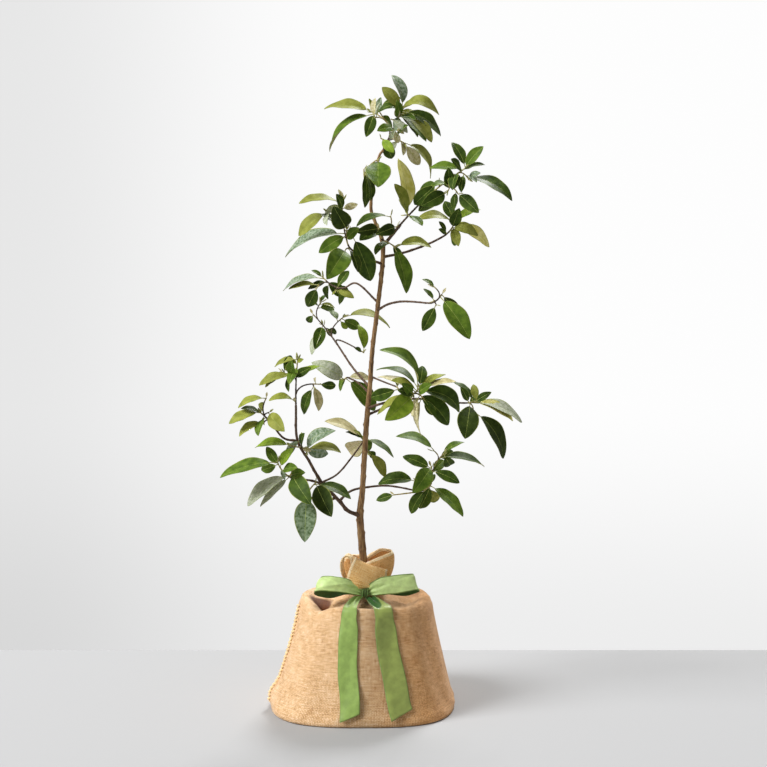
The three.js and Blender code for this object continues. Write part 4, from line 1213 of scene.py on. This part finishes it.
def loop_piece(name, side):
    """A loop of the bow: out of the knot in pleats, round its end, and back behind and below."""
    loop = LOOPS[side]
    turned = -1 if side == "right" else 1    # so that the satin's face is outside
    acrosses = [(0.22, lean * turned, turned) for lean in LOOP_LEAN]

    def waves(t, u):
        grip = 1 - smooth(sin(pi * t) * 1.9)
        pleats = 1.9 * grip * sin(9 * u + loop["phase"])
        crush = 1.0 * sin(11 * t + 2 * u + loop["phase"]) + 0.7 * sin(23 * t - 3 * u)
        crush += 1.6 * hump(u * turned - 3 * t, -0.5, 0.16) - 1.4 * hump(u * turned + 3.4 * t, 0.9, 0.18)
        return pleats + (crush + 1.4 * u * u) * (1 - grip)

    pile = Pile()
    # the loops in the paler satin, painted sheen and light
    cloth_sheet(pile, loop["path"], acrosses, loop["widths"], waves, ("ribbon_bow", "ribbon_edge"), 1.0, 84, 19)
    # the loops' inner faces show the reverse side, painted dark as shade
    thicken(pile.build(name, "ribbon", ["ribbon_loop_" + side]), THICK["ribbon"], "ribbon_reverse")


def tail_piece(name, side):
    """A tail: pleated out of the knot, over the rim, and down the wall to a slanted hem."""
    tail = TAILS[side]
    rows, columns, out_rows = 100, 31, 40
    phase = tail["phase"]
    out = through([vec(r, z, turn) for r, z, turn, _ in tail["out"]])
    halves = [half for *_, half in tail["out"]]
    points, spots = [], []
    run = 0.0
    for k in range(rows):
        line = []
        for c in range(columns):
            u = from_middle(c, columns)
            if k < out_rows:
                t = k / out_rows
                radius, z, turn = out.point(t)
                half = spread_value(halves, t)
                angle = radians(turn) + u * half / radius
                grip = 1 - smooth(t * 1.3)
                place = sack_point(angle, radius, SACK["height"])
                place[2] = z + 2.6 * grip * sin(6.2 * u + 1.3 + phase) * min(t * 5 + 0.3, 1)
                place[2] += rim_rise(angle) * smooth((radius - 70) / 30)
                place[2] -= tail["fold"] * hump(t, 0.5, 0.24) * hump(u, -0.35, 0.4)
            else:
                t = (k - out_rows) / (rows - 1 - out_rows)
                z = mix(170, mix(*tail["hem"], (u + 1) / 2), t)
                turn = spread_value(tail["bearings"], t)
                half = mix(halves[-1], tail["half"], smooth(t * 7))
                turn += degrees(u * half / wall_radius(z)) + 0.5 * sin(9 * t + phase)
                flow = 1.1 * sin(8 * t + 1.5 * u + phase) + 0.5 * sin(21 * t - 2.4 * u)
                loose = 1.4 * smooth(abs(u) * 1.2 - 0.2) * (0.5 + 0.5 * sin(14 * t + 2 * u + phase))
                place = wall_place(turn, z, 3.0 + flow + loose + 2.5 * smooth(t * 3 - 2))
            line.append(place)
            spots.append((u * RIBBON_HALF, run))
        points += line
        if k:
            run += float(np.linalg.norm(line[columns // 2] - points[(k - 1) * columns + columns // 2]))

    def kind_at(r, c):
        """The satin, its edges, and a dark patch where the right tail leaves the knot: its reverse side, painted much
        darker as the shade in its fold.
        """
        t, u = r / out_rows, from_middle(c + 0.5, columns)
        if side == "right" and 0.08 < t and -0.86 + 0.3 * t < u < 0.72 - 1.9 * t * t:
            return "ribbon_reverse"
        return "ribbon_edge" if c in (0, columns - 2) else tail["satin"]

    pile = Pile()
    add_grid(pile, points, rows, columns, kind_at, spots)
    thicken(pile.build(name, "ribbon", ["ribbon_tail_" + side]), THICK["ribbon"])


def knot_piece():
    """The knot: a short band of ribbon pulled tight over the bow, deeply creased."""
    rows, columns = 44, 31
    cx, cy, cz = KNOT["place"]
    points, spots = [], []
    for r in range(rows):
        t = r / rows
        turn = 2 * pi * t
        for c in range(columns):
            u = from_middle(c, columns)
            crease = 2.9 * sin(8 * u + 0.9 * sin(turn + 1)) + 0.6 * sin(15 * u + 2 * turn)
            waist = 1 - 0.16 * (1 - u * u)
            half = KNOT["half"] * (1 - 0.14 * abs(sin(turn)))
            points.append(vec(
                cx + u * half + 0.8 * sin(turn),
                cy - (KNOT["deep"] + crease * 0.8) * waist * cos(turn),
                cz + (KNOT["tall"] + crease * 0.5) * waist * sin(turn),
            ))
            spots.append((u * 10, t * 60))
    faces = grid_faces(rows, columns)
    faces += [((rows - 1) * columns + c, (rows - 1) * columns + c + 1, c + 1, c) for c in range(columns - 1)]
    pile = Pile()
    # the knot in the darker satin, painted shade in its creases
    pile.add(points, faces, "ribbon_knot", spots)
    thicken(pile.build("ribbon_knot_satin", "ribbon", ["ribbon_knot"]), THICK["knot"])


def waist_piece():
    """The turn of ribbon round the gathered neck, behind the knot."""
    cx, cy = NECK["centre"]
    around = []
    for k in range(25):
        turn = 2 * pi * k / 24
        r = NECK["waist"] + 0.8 + 0.5 * sin(5 * turn)
        around.append((cx + r * cos(turn), cy + r * sin(turn), TIE["height"]))
    pile = Pile()
    cloth_sheet(pile, around, [(0, 0, 1)] * 25, [17.5] * 25, lambda t, u: 0.9 * sin(9 * u + 20 * t),
                ("ribbon", "ribbon_edge"), 1.0, 96, 15)
    thicken(pile.build("ribbon_waist", "ribbon", ["ribbon_band"]), THICK["ribbon"])


# ---------------------------------------------------------------- stage

CAMERA = {"place": (34.65, -2800, 800), "down": 5.375, "lens": 79.84}
FLOOR = {"tone": "#adaeb0", "edge": 343, "reach": 6000}
SKY = {
    "left": 0.80, "right": 0.985, "from": -0.22, "to": -0.02, "low": 0.86, "down": -0.25, "up": -0.1, "glow": 0.33,
    "warmth": (1, 0.945, 0.86, 1),
}
LIGHTS = [
    # name, place in metres, size, watts
    ("key", (-6.8, -3.1, 7.0), 4.2, 1160),
    ("crown", (1.6, 4.9, 5.4), 2.0, 470),
    ("fill", (2.8, -4.0, 1.6), 2.5, 4),
]
AIM = (0, 0, 0.45)                   # where the lights look, in metres


def make_camera():
    camera = bpy.data.cameras.new("camera")
    camera.lens, camera.sensor_width, camera.clip_end = CAMERA["lens"], 36, 50
    holder = place_object("camera", camera)
    holder.location = [c * MM for c in CAMERA["place"]]
    holder.rotation_euler = (radians(90 - CAMERA["down"]), 0, 0)
    bpy.context.scene.camera = holder


def make_floor():
    """A pale table top that ends behind the pot."""
    look = Look("studio_floor", Roughness=0.8, Specular_IOR_Level=0.15, Base_Color=linear(FLOOR["tone"]))
    back, reach = FLOOR["edge"] * MM, FLOOR["reach"] * MM
    mesh = bpy.data.meshes.new("studio_floor")
    corners = [(-reach, -reach, 0), (reach, -reach, 0), (reach, back, 0), (-reach, back, 0)]
    mesh.from_pydata(corners, [], [(0, 1, 2, 3)])
    mesh.materials.append(look.material)
    place_object("studio_floor", mesh)


def make_sky():
    """A white studio: bright where it is seen, greyer at the left and low down, and a softer glow on things."""
    world = bpy.data.worlds.new("studio")
    bpy.context.scene.world = world
    world.use_nodes = True
    sky = Nodes(world.node_tree)
    x, _, z = sky.axes(sky.coordinate("Generated"))

    def fade(value, low, high, bottom, top):
        ranged = sky.node("MapRange", interpolation_type="SMOOTHSTEP")
        sky.feed(ranged, Value=value, From_Min=low, From_Max=high, To_Min=bottom, To_Max=top)
        return ranged.outputs["Result"]

    across = fade(x, SKY["from"], SKY["to"], SKY["left"], SKY["right"])
    upwards = fade(z, SKY["down"], SKY["up"], SKY["low"], 1.0)
    seen = sky.feed(sky.tree.nodes["Background"], Color=WHITE, Strength=sky.times(across, upwards))
    glow = sky.node("Background", SKY["warmth"], SKY["glow"])
    pick = sky.node("MixShader", sky.node("LightPath").outputs["Is Camera Ray"], glow.outputs[0], seen.outputs[0])
    sky.join(sky.tree.nodes["World Output"].inputs["Surface"], pick.outputs[0])


def make_lights():
    for name, place, size, power in LIGHTS:
        light = bpy.data.lights.new(name, "AREA")
        light.size, light.energy = size, power
        lamp = place_object(name, light)
        lamp.location = place
        aim = vec(*AIM) - vec(*place)
        lamp.rotation_euler = (atan2(hypot(aim[0], aim[1]), -aim[2]), 0, atan2(-aim[0], aim[1]))


def make_stage():
    bpy.context.scene.view_settings.view_transform = "Standard"
    make_camera()
    make_floor()
    make_sky()
    make_lights()


def make_pot():
    sack = sack_mesh().build("burlap_wrap", "burlap", ["sack_pot"])
    weld(sack)
    seam_mesh().build("burlap_seam", "burlap")
    thicken(neck_mesh().build("burlap_neck", "burlap", ["sack_neck"]), THICK["burlap"])
    for side in ("left", "right"):
        loop_piece("ribbon_bow_" + side, side)
        tail_piece("ribbon_end_" + side, side)
    knot_piece()
    waist_piece()


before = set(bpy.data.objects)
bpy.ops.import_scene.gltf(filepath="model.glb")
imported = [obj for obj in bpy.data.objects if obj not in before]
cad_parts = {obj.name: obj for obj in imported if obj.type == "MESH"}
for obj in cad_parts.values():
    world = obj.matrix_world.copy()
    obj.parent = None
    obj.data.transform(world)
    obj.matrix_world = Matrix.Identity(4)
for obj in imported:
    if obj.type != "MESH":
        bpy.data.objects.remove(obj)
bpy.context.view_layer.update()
make_materials()
make_stage()
make_limbs()
make_masses()
make_pot()
bpy.context.view_layer.update()
